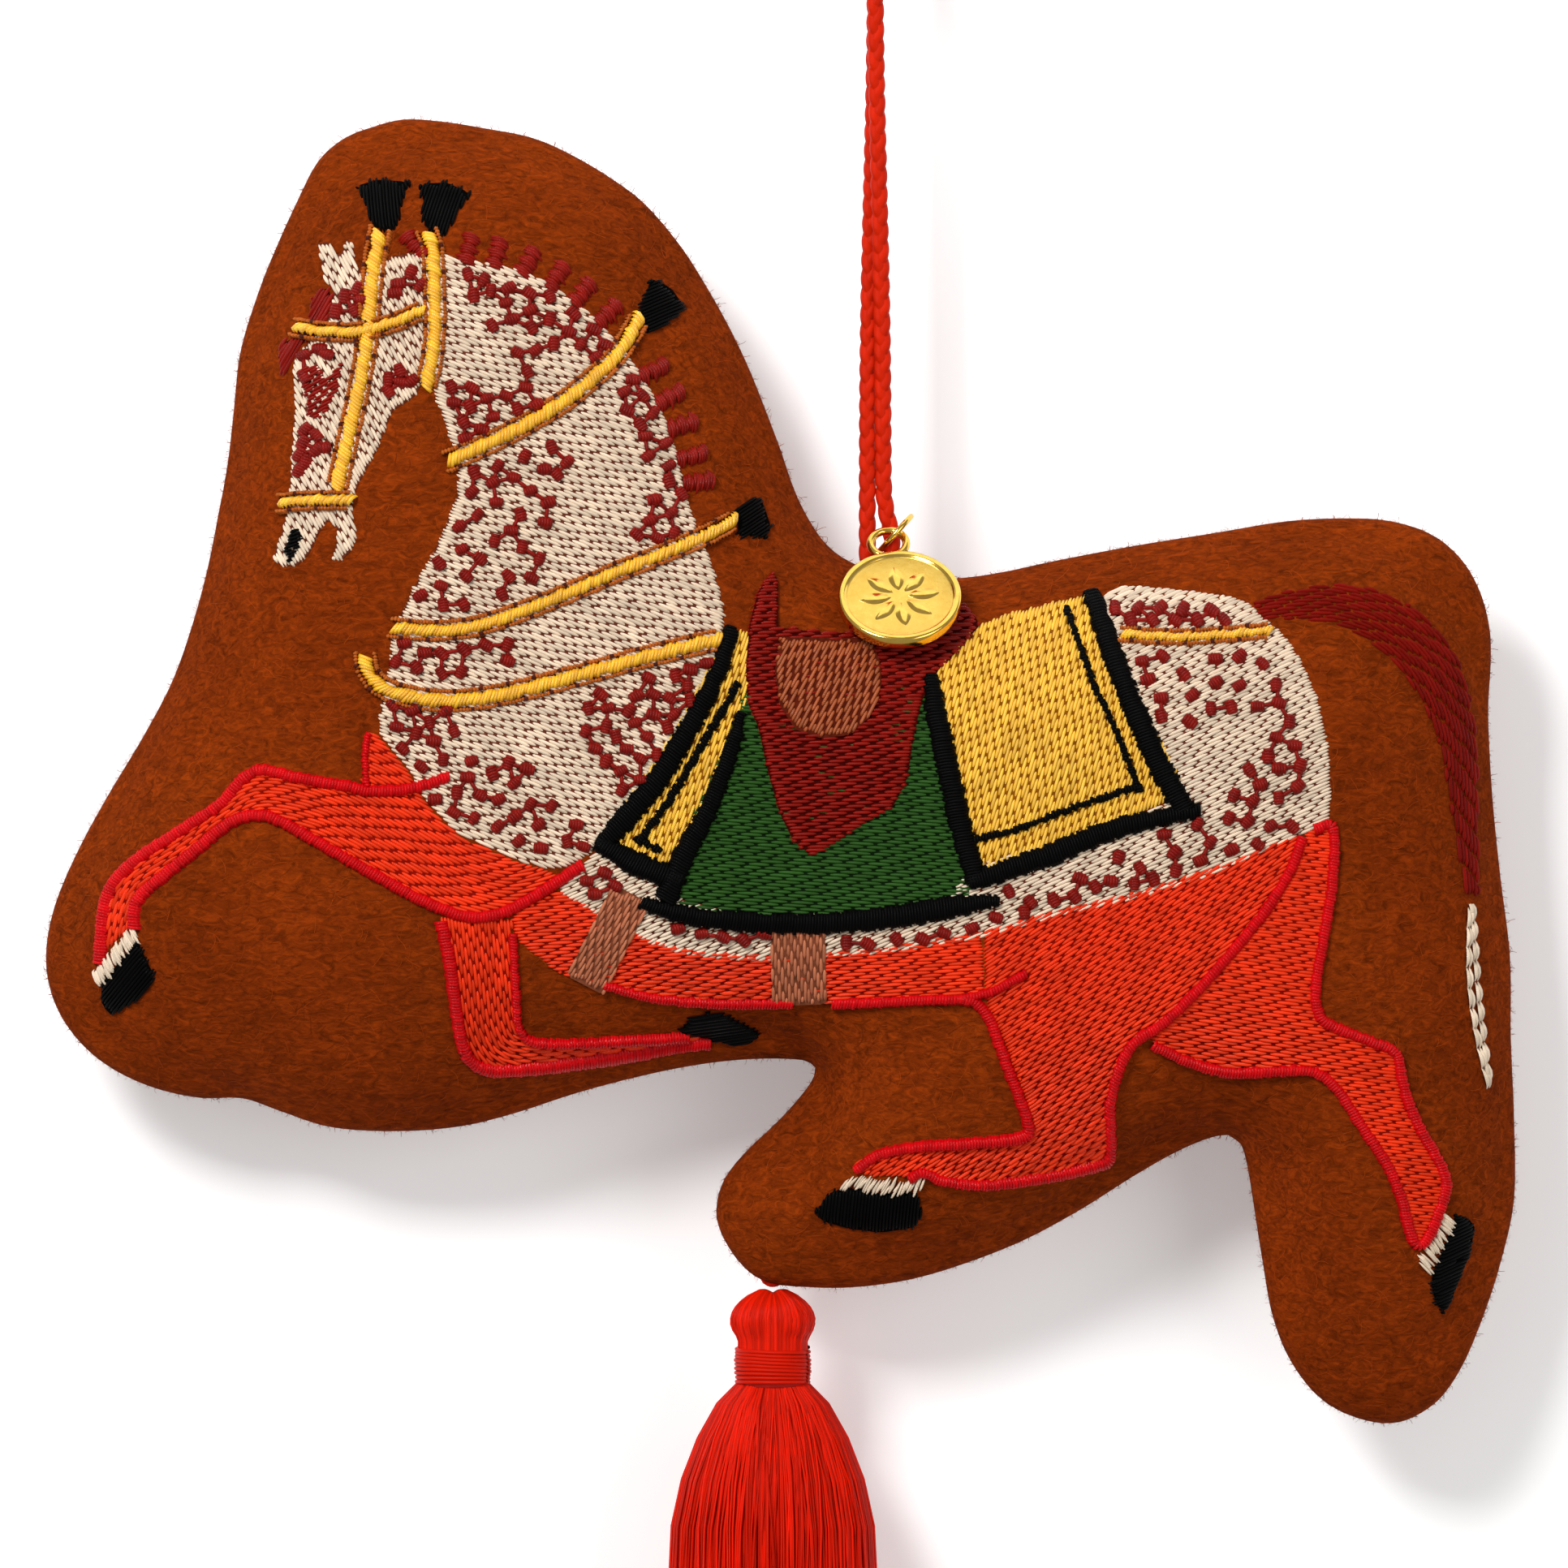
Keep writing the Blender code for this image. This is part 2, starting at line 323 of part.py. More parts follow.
def smooth(points, step, closed=False):
    """Points about a step apart on a smooth curve through the given ones."""
    count = len(points)
    out = []
    for i in range(count if closed else count - 1):
        if closed:
            a, b, c, d = (np.array(points[(i + k) % count], float) for k in (-1, 0, 1, 2))
        else:
            a, b, c, d = (np.array(points[min(max(i + k, 0), count - 1)], float) for k in (-1, 0, 1, 2))
        parts = max(1, round(np.linalg.norm(c - b) / step))
        for k in range(parts):
            t = k / parts
            out.append(0.5 * (2 * b + (c - a) * t + (2 * a - 5 * b + 4 * c - d) * t**2
                              + (3 * b - a - 3 * c + d) * t**3))
    if not closed:
        out.append(np.array(points[-1], float))
    return np.array(out)


def split(points, step):
    """Points on the straight sides of a closed outline, at most a step apart."""
    out = []
    for i in range(len(points)):
        a = np.array(points[i], float)
        b = np.array(points[(i + 1) % len(points)], float)
        parts = max(1, math.ceil(np.linalg.norm(b - a) / step))
        out += [a + (b - a) * k / parts for k in range(parts)]
    return np.array(out)


def to_edge(points, outline):
    """Each point's distance from the outline: positive inside, negative outside."""
    points = np.asarray(points, float)
    best = np.full(len(points), 1e9)
    inside = np.zeros(len(points), bool)
    for i in range(len(outline)):
        a = outline[i]
        b = outline[(i + 1) % len(outline)]
        along = b - a
        t = np.clip(((points - a) @ along) / (along @ along), 0, 1)
        best = np.minimum(best, np.linalg.norm(points - a - t[:, None] * along, axis=1))
        crosses = (a[1] > points[:, 1]) != (b[1] > points[:, 1])
        with np.errstate(divide="ignore", invalid="ignore"):
            at = a[0] + (points[:, 1] - a[1]) * along[0] / along[1]
        inside ^= crosses & (points[:, 0] < at)
    return np.where(inside, best, -best)


EDGE = smooth(BODY, 1.5, closed=True)
EDGE_STEPS = np.linalg.norm(np.roll(EDGE, -1, axis=0) - EDGE, axis=1)


def bulge(points):
    """How far the felt's outside stands from the seam plane at (x, z), with every edge rolled over."""
    points = np.asarray(points, float)
    near = np.linalg.norm(points[:, None, :] - EDGE[None, :, :], axis=2)
    total = (np.exp(-near / SOFTEN) * EDGE_STEPS).sum(axis=1) / (2 * SOFTEN)
    soft = -SOFTEN * np.log(total)
    reach = np.clip(np.maximum(soft, 0.2 * to_edge(points, EDGE)), 0, EDGE_ROLL)
    return HALF_THICK * np.sqrt(1 - (1 - reach / EDGE_ROLL) ** 2)


def slopes(points):
    """The outward normals of the front, level with the seam plane near the edge."""
    e = 0.2
    across = (bulge(points + [e, 0]) - bulge(points - [e, 0])) / (2 * e)
    up = (bulge(points + [0, e]) - bulge(points - [0, e])) / (2 * e)
    level = np.clip(to_edge(points, EDGE) / 3, 0, 1)
    normals = np.stack([-across, -level, -up], axis=1)
    return normals / np.linalg.norm(normals, axis=1, keepdims=True)


def fill_outline(outline, inner):
    """Triangles over a closed outline. Returns its points, their triangles, and the outline's new order."""
    rim = len(outline)
    points = [Vector(p) for p in list(outline) + list(inner)]
    edges = [(i, (i + 1) % rim) for i in range(rim)]
    made, _, faces, origin, _, _ = delaunay_2d_cdt(points, edges, [list(range(rim))], 1, 1e-5)
    order = {}
    for new, olds in enumerate(origin):
        for old in olds:
            order[old] = new
    return np.array([tuple(p) for p in made]), faces, [order[i] for i in range(rim)]


def two_sides(front, back, faces, rim):
    """Faces of a closed shell with the same triangles on both sides and a wall around the rim."""
    count = len(front)
    out = [tuple(f) for f in faces] + [tuple(count + i for i in reversed(f)) for f in faces]
    for i in range(len(rim)):
        a, b = rim[i], rim[(i + 1) % len(rim)]
        out.append((b, a, count + a, count + b))
    return list(front) + list(back), out


# the stuffed body: one layout of points serves both panels and the stuffing
body_rim = smooth(BODY, 6.0, closed=True)
tangent = np.roll(body_rim, -1, axis=0) - np.roll(body_rim, 1, axis=0)
inward = np.stack([tangent[:, 1], -tangent[:, 0]], axis=1)
inward /= np.linalg.norm(inward, axis=1, keepdims=True)
if (to_edge(body_rim + inward, EDGE) < 0).sum() > len(body_rim) / 2:
    inward = -inward
first_ring = body_rim + 1.6 * inward
second_ring = (body_rim + 5.0 * inward)[::2]
grid = np.array([(x + 4.5 * (j % 2), z) for j, z in enumerate(np.arange(-104, 56, 8.0))
                 for x in np.arange(-102, 78, 9.0)])
grid = grid[to_edge(grid, EDGE) > 8.5]
second_ring = second_ring[to_edge(second_ring, EDGE) > 4.0]
first_ring = first_ring[to_edge(first_ring, EDGE) > 1.2]
flat, flat_faces, flat_rim = fill_outline(body_rim, np.vstack([first_ring, second_ring, grid]))
rise = bulge(flat)
rise[flat_rim] = 0
normal = slopes(flat)
for i, rim_point in enumerate(flat_rim):
    normal[rim_point] = (-inward[i][0], 0, -inward[i][1])


def felt_panel(name, side):
    """One felt panel. The side is -1 for the front and 1 for the back."""
    half_gap = SEAM_GAP / 2
    outer = np.stack([flat[:, 0], -rise - half_gap, flat[:, 1]], axis=1)
    inner = outer - FELT * normal
    inner[:, 1] = np.minimum(inner[:, 1], -half_gap)
    outer[:, 1] *= -side
    inner[:, 1] *= -side
    points, faces = two_sides([world(*p) for p in outer], [world(*p) for p in inner], flat_faces, flat_rim)
    return solid(name, points, faces, "felt")


def stuffing(name):
    """The fibre between the panels, clear of both."""
    outer = np.stack([flat[:, 0], -rise - SEAM_GAP / 2, flat[:, 1]], axis=1)
    front = outer - (FELT + CLEAR + 0.15) * normal
    front[:, 1] = np.minimum(front[:, 1], -0.05)
    back = front * [1, -1, 1]
    points, faces = two_sides([world(*p) for p in front], [world(*p) for p in back], flat_faces, flat_rim)
    return solid(name, points, faces, "fibre")


def cutter(name, low, high):
    """A hidden box between two drawing corners, to cut with."""
    a = world(*low)
    b = world(*high)
    points = [(x, y, z) for x in (a[0], b[0]) for y in (a[1], b[1]) for z in (a[2], b[2])]
    faces = [(0, 1, 3, 2), (4, 6, 7, 5), (0, 4, 5, 1), (2, 3, 7, 6), (0, 2, 6, 4), (1, 5, 7, 3)]
    box = solid(name, points, faces, "felt")
    box.hide_render = True
    box.display_type = "WIRE"
    return box


def cut(node, tool):
    """Take a hidden tool away from a node."""
    modifier = node.modifiers.new("cut", "BOOLEAN")
    modifier.operation = "DIFFERENCE"
    modifier.solver = "EXACT"
    modifier.object = tool


def layer(level):
    """Bottom and top of a layer of thread, measured out from the felt."""
    bottom = SEAM_GAP / 2 + CLEAR + 0.05 + level * (THREAD + CLEAR)
    return bottom, bottom + THREAD


def ground(points):
    """What the stitches lie on: the bulge, with some room where the edge's roll is tightest."""
    return bulge(points) + EDGE_ROOM * HALF_THICK * np.exp(-np.abs(to_edge(points, EDGE)) / 4)


def fill(name, level, kind, outline):
    """An area of stitches, as a thin solid that follows the front."""
    rim = split(outline, 4.5)
    low, high = rim.min(axis=0), rim.max(axis=0)
    inner = np.array([(x, z) for x in np.arange(low[0], high[0], 5.5) for z in np.arange(low[1], high[1], 5.5)])
    inner = inner[to_edge(inner, rim) > 2.0]
    points, faces, order = fill_outline(rim, inner)
    height = ground(points)
    bottom, top = layer(level)
    front = [world(x, -h - top, z) for (x, z), h in zip(points, height)]
    back = [world(x, -h - bottom, z) for (x, z), h in zip(points, height)]
    made, sides = two_sides(front, back, faces, order)
    return solid(name, made, sides, kind)


def band(name, level, kind, width, path):
    """A row of satin stitches of one width, or of a width for each point of its path."""
    line = smooth(path, 3.2)
    widths = np.full(len(path), width) if isinstance(width, (int, float)) else np.array(width)
    marks = [int(np.argmin(np.linalg.norm(line - p, axis=1))) for p in path]
    marks[-1] = len(line) - 1
    half = np.interp(range(len(line)), marks, widths) / 2
    run = np.gradient(line, axis=0)
    side = np.stack([-run[:, 1], run[:, 0]], axis=1)
    side /= np.linalg.norm(side, axis=1, keepdims=True)
    left = line + side * half[:, None]
    right = line - side * half[:, None]
    flat_points = np.vstack([left, right])
    height = ground(flat_points)
    bottom, top = layer(level)
    count = len(line)
    points = [world(x, -h - top, z) for (x, z), h in zip(flat_points, height)]
    points += [world(x, -h - bottom, z) for (x, z), h in zip(flat_points, height)]
    faces = []
    for i in range(count - 1):
        a, b, c, d = i, i + 1, count + i + 1, count + i
        faces.append((a, b, c, d))
        faces.append(tuple(2 * count + k for k in (d, c, b, a)))
        faces.append((b, a, 2 * count + a, 2 * count + b))
        faces.append((d, c, 2 * count + c, 2 * count + d))
    faces.append((0, count, 3 * count, 2 * count))
    faces.append((2 * count - 1, count - 1, 3 * count - 1, 4 * count - 1))
    return solid(name, points, faces, kind)


def lathe(name, profile, kind, centre, origin, deep=1.0, around=24):
    """A solid turned about a vertical line. The profile's (radius, z) pairs run from the top to the bottom."""
    points = [world(centre, 0, profile[0][1])]
    for radius, z in profile[1:-1]:
        for k in range(around):
            turn = 2 * math.pi * k / around
            points.append(world(centre + radius * math.cos(turn), deep * radius * math.sin(turn), z))
    points.append(world(centre, 0, profile[-1][1]))
    last = len(points) - 1
    rings = len(profile) - 2
    faces = [(0, 1 + k, 1 + (k + 1) % around) for k in range(around)]
    for r in range(rings - 1):
        for k in range(around):
            a, b = 1 + r * around + k, 1 + r * around + (k + 1) % around
            faces.append((a, a + around, b + around, b))
    base = 1 + (rings - 1) * around
    faces += [(last, base + (k + 1) % around, base + k) for k in range(around)]
    return solid(name, points, faces, kind, origin)


def torus(major, minor, around=36, section=10):
    """Points and faces of a ring in its own X-Z plane, in millimetres."""
    points = []
    for i in range(around):
        a = 2 * math.pi * i / around
        for j in range(section):
            b = 2 * math.pi * j / section
            reach = major + minor * math.cos(b)
            points.append((reach * math.cos(a), minor * math.sin(b), reach * math.sin(a)))
    faces = []
    for i in range(around):
        for j in range(section):
            a, b = i * section + j, i * section + (j + 1) % section
            c, d = ((i + 1) % around) * section + (j + 1) % section, ((i + 1) % around) * section + j
            faces.append((a, b, c, d))
    return points, faces


def place(points, x_way, y_way, z_way, centre):
    """World points from a piece's own X, Y and Z, given as directions in the drawing."""
    return [world(*(Vector(centre) + p[0] * x_way + p[1] * y_way + p[2] * z_way)) for p in points]


felt_front = felt_panel("felt_front_panel", -1)
felt_back = felt_panel("felt_back_panel", 1)
fibre = stuffing("fibre_stuffing")

for fill_name, fill_level, fill_kind, fill_outline_points in FILLS:
    fill(fill_name, fill_level, fill_kind, fill_outline_points)
for band_name, band_level, band_kind, band_width, band_path in BANDS:
    band(band_name, band_level, band_kind, band_width, band_path)

# the seam is open where the cord and the tassel's loop go in
seam_top = 0.4
cord_slot = cutter(
    "cord_slot",
    (CORD_X - LEG_SPACING / 2 - CORD_D / 2 - CLEAR, -CORD_D / 2 - CLEAR, seam_top - CORD_IN - 2 * CLEAR - 3.0),
    (CORD_X + LEG_SPACING / 2 + LEG_BOW + CORD_D / 2 + CLEAR, CORD_D / 2 + CLEAR, seam_top + 3.0))
bottom_edge = -88.4
loop_slot = cutter(
    "loop_slot",
    (TASSEL_X - LOOP_R - LOOP_WIRE / 2 - 1.3, -LOOP_WIRE / 2 - 0.45, bottom_edge - 3.0),
    (TASSEL_X + LOOP_R + LOOP_WIRE / 2 + 1.3, LOOP_WIRE / 2 + 0.45, bottom_edge + 2 * LOOP_R + 1.8))
knot_top = seam_top - CORD_IN - 2 * CLEAR
knot_room = cutter(
    "knot_room",
    (CORD_X - KNOT_R - CLEAR, -KNOT_R - CLEAR, knot_top - 2 * KNOT_R - 2 * CLEAR),
    (CORD_X + KNOT_R + CLEAR, KNOT_R + CLEAR, knot_top + 5.0))
for panel in (felt_front, felt_back):
    cut(panel, cord_slot)
    cut(panel, loop_slot)
    cut(panel, knot_room)
cut(fibre, cord_slot)
cut(fibre, loop_slot)
cut(fibre, knot_room)

# the knot that keeps the cord in the body
knot_profile = [(KNOT_R * math.sin(a), knot_top - KNOT_R + KNOT_R * math.cos(a))
                for a in np.linspace(0, math.pi, 8)]
lathe("cord_knot", knot_profile, "cord", CORD_X, (0, 0, -DROP * MM), around=12)


def cord_route():
    """The cord from one end in the seam, round the eye and back, with a quarter turn between its legs."""
    low = seam_top - CORD_IN
    neck = DROP + CORD_D / 2 - EYE_R - EYE_NECK
    legs = []
    for z in np.linspace(low, neck, 14):
        t = min(max(z / neck, 0), 1)
        turn = math.pi / 2 * t * t * (3 - 2 * t)
        bow = LEG_BOW * math.exp(-((max(z - 3, 0) / 4) ** 2))
        legs.append((turn, z, bow))
    half = LEG_SPACING / 2
    right = [(CORD_X + half * math.cos(t) + bow, -half * math.sin(t), z) for t, z, bow in legs]
    left = [(CORD_X - half * math.cos(t), half * math.sin(t), z) for t, z, _ in legs]
    eye_z = neck + EYE_NECK
    eye = []
    for angle in np.linspace(-25, 205, 9):
        a = math.radians(angle)
        eye.append((CORD_X, -EYE_R * math.cos(a), eye_z + EYE_R * math.sin(a)))
    return right + eye + left[::-1]


cord_curve = bpy.data.curves.new("hanging_cord", "CURVE")
cord_curve.dimensions = "3D"
cord_points = cord_route()
spline = cord_curve.splines.new("POLY")
spline.points.add(len(cord_points) - 1)
for point, place_at in zip(spline.points, cord_points):
    point.co = (*world(*place_at), 1)
cord_curve.bevel_depth = CORD_D / 2 * MM
cord_curve.bevel_resolution = 2
cord_curve.use_fill_caps = True
add("hanging_cord", cord_curve, "cord")

# the jump ring, through the tag's bail and round the right leg of the cord
rise_angle = math.radians(RING_RISE)
ring_x = Vector((math.cos(rise_angle), 0, math.sin(rise_angle)))
ring_z = Vector((0, -1, 0))
ring_y = ring_x.cross(ring_z)
ring_points, ring_faces = torus(RING_R, RING_WIRE / 2, 32, 8)
leg_x = CORD_X + LEG_SPACING / 2 + LEG_BOW
ring_pivot = world(leg_x, 0, RING_AT[2] - 0.4)
solid("jump_ring", place(ring_points, ring_x, ring_y, ring_z, RING_AT), ring_faces, "brass", ring_pivot)

# the tag: a disc and its bail in one plane, leaning back on the body
disc_centre = -(BAIL_R + TAG_R - 0.2)


def tag_ways(tilt):
    """The tag's own right, back and up, for a lean in degrees."""
    askew = math.radians(TAG_TURN)
    lean = Vector((0, math.sin(math.radians(tilt)), math.cos(math.radians(tilt))))
    up = math.cos(askew) * lean - math.sin(askew) * Vector((1, 0, 0))
    right = math.cos(askew) * Vector((1, 0, 0)) + math.sin(askew) * lean
    return right, up.cross(right), up


def rest_tilt():
    """Degrees the tag leans back: the least lean at which it clears what is under it."""
    for tilt in np.arange(20, 85, 0.5):
        right, back, up = tag_ways(tilt)
        rim = []
        for k in range(40):
            a = 2 * math.pi * k / 40
            for depth in (-TAG_T / 2, TAG_T / 2):
                rim.append(Vector(BAIL_AT) + TAG_R * math.cos(a) * right + depth * back
                           + (disc_centre + TAG_R * math.sin(a)) * up)
        rim = np.array([tuple(p) for p in rim])
        room = -rim[:, 1] - ground(rim[:, [0, 2]])
        needed = np.where(rim[:, 2] > BARE, TAG_STAND, layer(TAG_LAYERS - 1)[1] + CLEAR)
        if (room > needed)[to_edge(rim[:, [0, 2]], EDGE) > 0].all():
            return tilt
    return 85.0


tag_right, tag_back, tag_up = tag_ways(rest_tilt())
disc_points = []
for radius, depth in [(0, -TAG_T / 2), (TAG_R - 0.3, -TAG_T / 2), (TAG_R, -TAG_T / 2 + 0.3),
                      (TAG_R, TAG_T / 2 - 0.3), (TAG_R - 0.3, TAG_T / 2), (0, TAG_T / 2)]:
    for k in range(1 if radius == 0 else 40):
        a = 2 * math.pi * k / 40
        disc_points.append((radius * math.cos(a), depth, disc_centre + radius * math.sin(a)))
disc_faces = [(0, 1 + (k + 1) % 40, 1 + k) for k in range(40)]
for r in range(3):
    for k in range(40):
        disc_faces.append((1 + r * 40 + k, 1 + r * 40 + (k + 1) % 40,
                           41 + r * 40 + (k + 1) % 40, 41 + r * 40 + k))
disc_faces += [(161, 121 + k, 121 + (k + 1) % 40) for k in range(40)]
tag_pivot = world(0.6, -3.6, 3.3)
tag = solid("charm", place(disc_points, tag_right, tag_back, tag_up, BAIL_AT), disc_faces, "brass", tag_pivot)
bail_points, bail_faces = torus(BAIL_R, BAIL_WIRE / 2, 28, 8)
bail = solid("bail_shape", place(bail_points, tag_right, tag_back, tag_up, BAIL_AT), bail_faces, "brass", tag_pivot)
bail.hide_render = True
bail.display_type = "WIRE"
join = tag.modifiers.new("bail", "BOOLEAN")
join.operation = "UNION"
join.solver = "EXACT"
join.object = bail

# the tassel hangs by a small loop from the bottom seam
loop_z = bottom_edge + LOOP_R - 0.15
loop_points, loop_faces = torus(LOOP_R, LOOP_WIRE / 2, 16, 6)
loop_pivot = world(TASSEL_X, 0, loop_z + LOOP_R)
solid("tassel_loop", place(loop_points, Vector((1, 0, 0)), Vector((0, 1, 0)), Vector((0, 0, 1)),
                           (TASSEL_X, 0, loop_z)), loop_faces, "tassel", loop_pivot)
head_top = loop_z - LOOP_R - LOOP_WIRE / 2 - CLEAR / 2
head_pivot = world(TASSEL_X, 0, loop_z - LOOP_R)
head_profile = [(HEAD_R * math.sin(a) ** 0.8, head_top - HEAD_H / 2 + HEAD_H / 2 * math.cos(a))
                for a in np.linspace(0, math.pi, 10)]
lathe("tassel_head", head_profile, "tassel", TASSEL_X, head_pivot, FLATTEN + 0.15, 18)
binding_top = head_top - HEAD_H - CLEAR
binding_profile = [(0, binding_top), (BINDING_R - 0.6, binding_top), (BINDING_R, binding_top - 0.8),
                   (BINDING_R, binding_top - BINDING_H + 0.8), (BINDING_R - 0.4, binding_top - BINDING_H),
                   (0, binding_top - BINDING_H)]
lathe("tassel_binding", binding_profile, "tassel", TASSEL_X, head_pivot, FLATTEN + 0.15, 18)
skirt_top = binding_top - BINDING_H - CLEAR
skirt_profile = [(0, skirt_top)]
for part in (0.0, 0.05, 0.12, 0.2, 0.32, 0.5, 0.75, 1.0):
    reach = BINDING_R - 0.2 + (SKIRT_R - BINDING_R) * math.sin(math.pi / 2 * min(part / 0.36, 1)) ** 0.7
    skirt_profile.append((reach, skirt_top - part * SKIRT_H))
skirt_profile.append((0, skirt_top - SKIRT_H))
lathe("tassel_skirt", skirt_profile, "tassel", TASSEL_X, head_pivot, FLATTEN)
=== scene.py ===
"""The looks of a stuffed felt horse ornament with machine embroidery, hung by a doubled cord.

The drawing is made of (x, z) points in millimetres, seen from the front. Its zero is the top seam of the
felt beside the cord. World axes: X to the right, Z up, front face towards -Y.
"""

import math

import bmesh
import bpy
import numpy as np
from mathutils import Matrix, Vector, noise
from mathutils.geometry import delaunay_2d_cdt

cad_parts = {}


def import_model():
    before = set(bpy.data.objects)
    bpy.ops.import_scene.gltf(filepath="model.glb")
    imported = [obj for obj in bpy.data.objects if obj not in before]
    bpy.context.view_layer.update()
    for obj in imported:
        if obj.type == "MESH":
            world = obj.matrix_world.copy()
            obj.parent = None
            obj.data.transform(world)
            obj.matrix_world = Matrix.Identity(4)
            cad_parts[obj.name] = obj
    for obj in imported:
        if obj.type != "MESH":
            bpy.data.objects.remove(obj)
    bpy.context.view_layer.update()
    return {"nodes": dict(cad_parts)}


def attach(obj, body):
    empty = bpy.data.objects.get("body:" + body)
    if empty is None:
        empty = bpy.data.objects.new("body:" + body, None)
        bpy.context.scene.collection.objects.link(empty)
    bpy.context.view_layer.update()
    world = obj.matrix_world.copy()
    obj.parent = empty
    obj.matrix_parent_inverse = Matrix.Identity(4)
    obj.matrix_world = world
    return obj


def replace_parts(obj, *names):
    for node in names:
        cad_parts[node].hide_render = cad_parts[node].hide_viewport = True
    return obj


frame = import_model()
MM = 0.001
rng = np.random.default_rng(7)

# sizes shared with the frame, in millimetres and degrees
FELT = 1.5
SEAM_GAP = 0.3
HALF_THICK = 14.5
EDGE_ROLL = 20.0
SOFTEN = 6.0
DROP = 88.0
CORD_X = -0.6
EYE_R = 5.0
EYE_NECK = 9.0
CORD_IN = 2.0
LEG_BOW = 1.1
TAG_R = 7.6
TAG_T = 1.8
BAIL_R = 2.2
BAIL_WIRE = 1.0
TAG_TILT = 42.5
TAG_TURN = 8.0
BAIL_AT = (1.0, -3.9, 3.1)
RING_R = 2.85
RING_WIRE = 0.7
RING_AT = (1.9, -1.3, 4.4)
RING_RISE = 48.0
TASSEL_X = -13.3
BOTTOM_EDGE = -88.4
LOOP_R = 1.3
LOOP_WIRE = 0.7
HEAD_R = 4.9
HEAD_H = 7.6
BINDING_R = 4.6
BINDING_H = 4.0
SKIRT_R = 13.2
SKIRT_H = 62.0
FLATTEN = 0.75

LEG_OUT = 0.99  # from the cord's middle to each leg's own, between the strands
PITCH = 0.40  # between rows of stitches
THREAD_W = 0.41
THREAD_H = 0.24
STITCH = 3.0  # length of one stitch in a filled area

# the stuffed body's outline
BODY = [
    (-59, 55.7), (-54, 55.4), (-49, 54.6), (-43, 53.4), (-38, 51.2), (-33, 48.2), (-29, 45.1), (-24.7, 40),
    (-21.5, 35), (-18.7, 30), (-16.3, 25), (-14.3, 20), (-12.4, 15), (-10.8, 10.3), (-9.3, 7), (-6.8, 3.2),
    (-3.5, 0.8), (1, -0.7), (6, -1.2), (11, -1), (16, -0.2), (21.5, 1), (31.5, 2.9), (41.5, 4.5), (50, 5.9),
    (57, 6.3), (63, 6), (68.3, 4.3), (72, 1.2), (74.3, -2.8), (75.5, -7.5), (75.6, -12), (75.3, -18),
    (75.8, -28), (76.8, -38), (78, -48), (78.1, -58), (78.5, -68), (78.5, -78), (76.8, -86), (74.5, -93),
    (71.9, -99), (68.7, -103.3), (64, -105.7), (59, -105.1), (54.4, -102.6), (50.8, -98), (48.6, -92.5),
    (47.4, -86), (46.3, -79), (45.5, -74), (44.6, -71), (43, -70), (40, -70.7), (36, -72.5), (31, -75.4),
    (25, -79.2), (18, -83), (11, -85.8), (4, -87.9), (-3, -88.9), (-9, -88.9), (-14, -88.3), (-17.3, -86),
    (-19.8, -82), (-20.3, -79), (-19.3, -75.5), (-16.5, -72), (-13, -68.7), (-10.3, -65.8), (-8.2, -63),
    (-8, -61.4), (-9.5, -60.8), (-13, -60.6), (-18, -60.8), (-24, -61.6), (-31, -63.1), (-38, -65),
    (-45, -67.3), (-52, -69), (-60, -69.6), (-68, -69.1), (-74, -67.2), (-79, -65.5), (-84, -65.5),
    (-90, -64.2), (-95.5, -61.6), (-99.6, -58), (-102.3, -53.5), (-103.3, -48.2), (-102.3, -42),
    (-99.4, -35), (-95.6, -28), (-91.4, -21), (-87.7, -14), (-85.2, -7), (-83.3, 0), (-82, 6.5),
    (-80.8, 13), (-80, 20), (-79.2, 27), (-76.9, 34.5), (-74.7, 40), (-72.2, 45.5), (-69.6, 50.5),
    (-66.3, 53.4), (-63, 54.7),
]

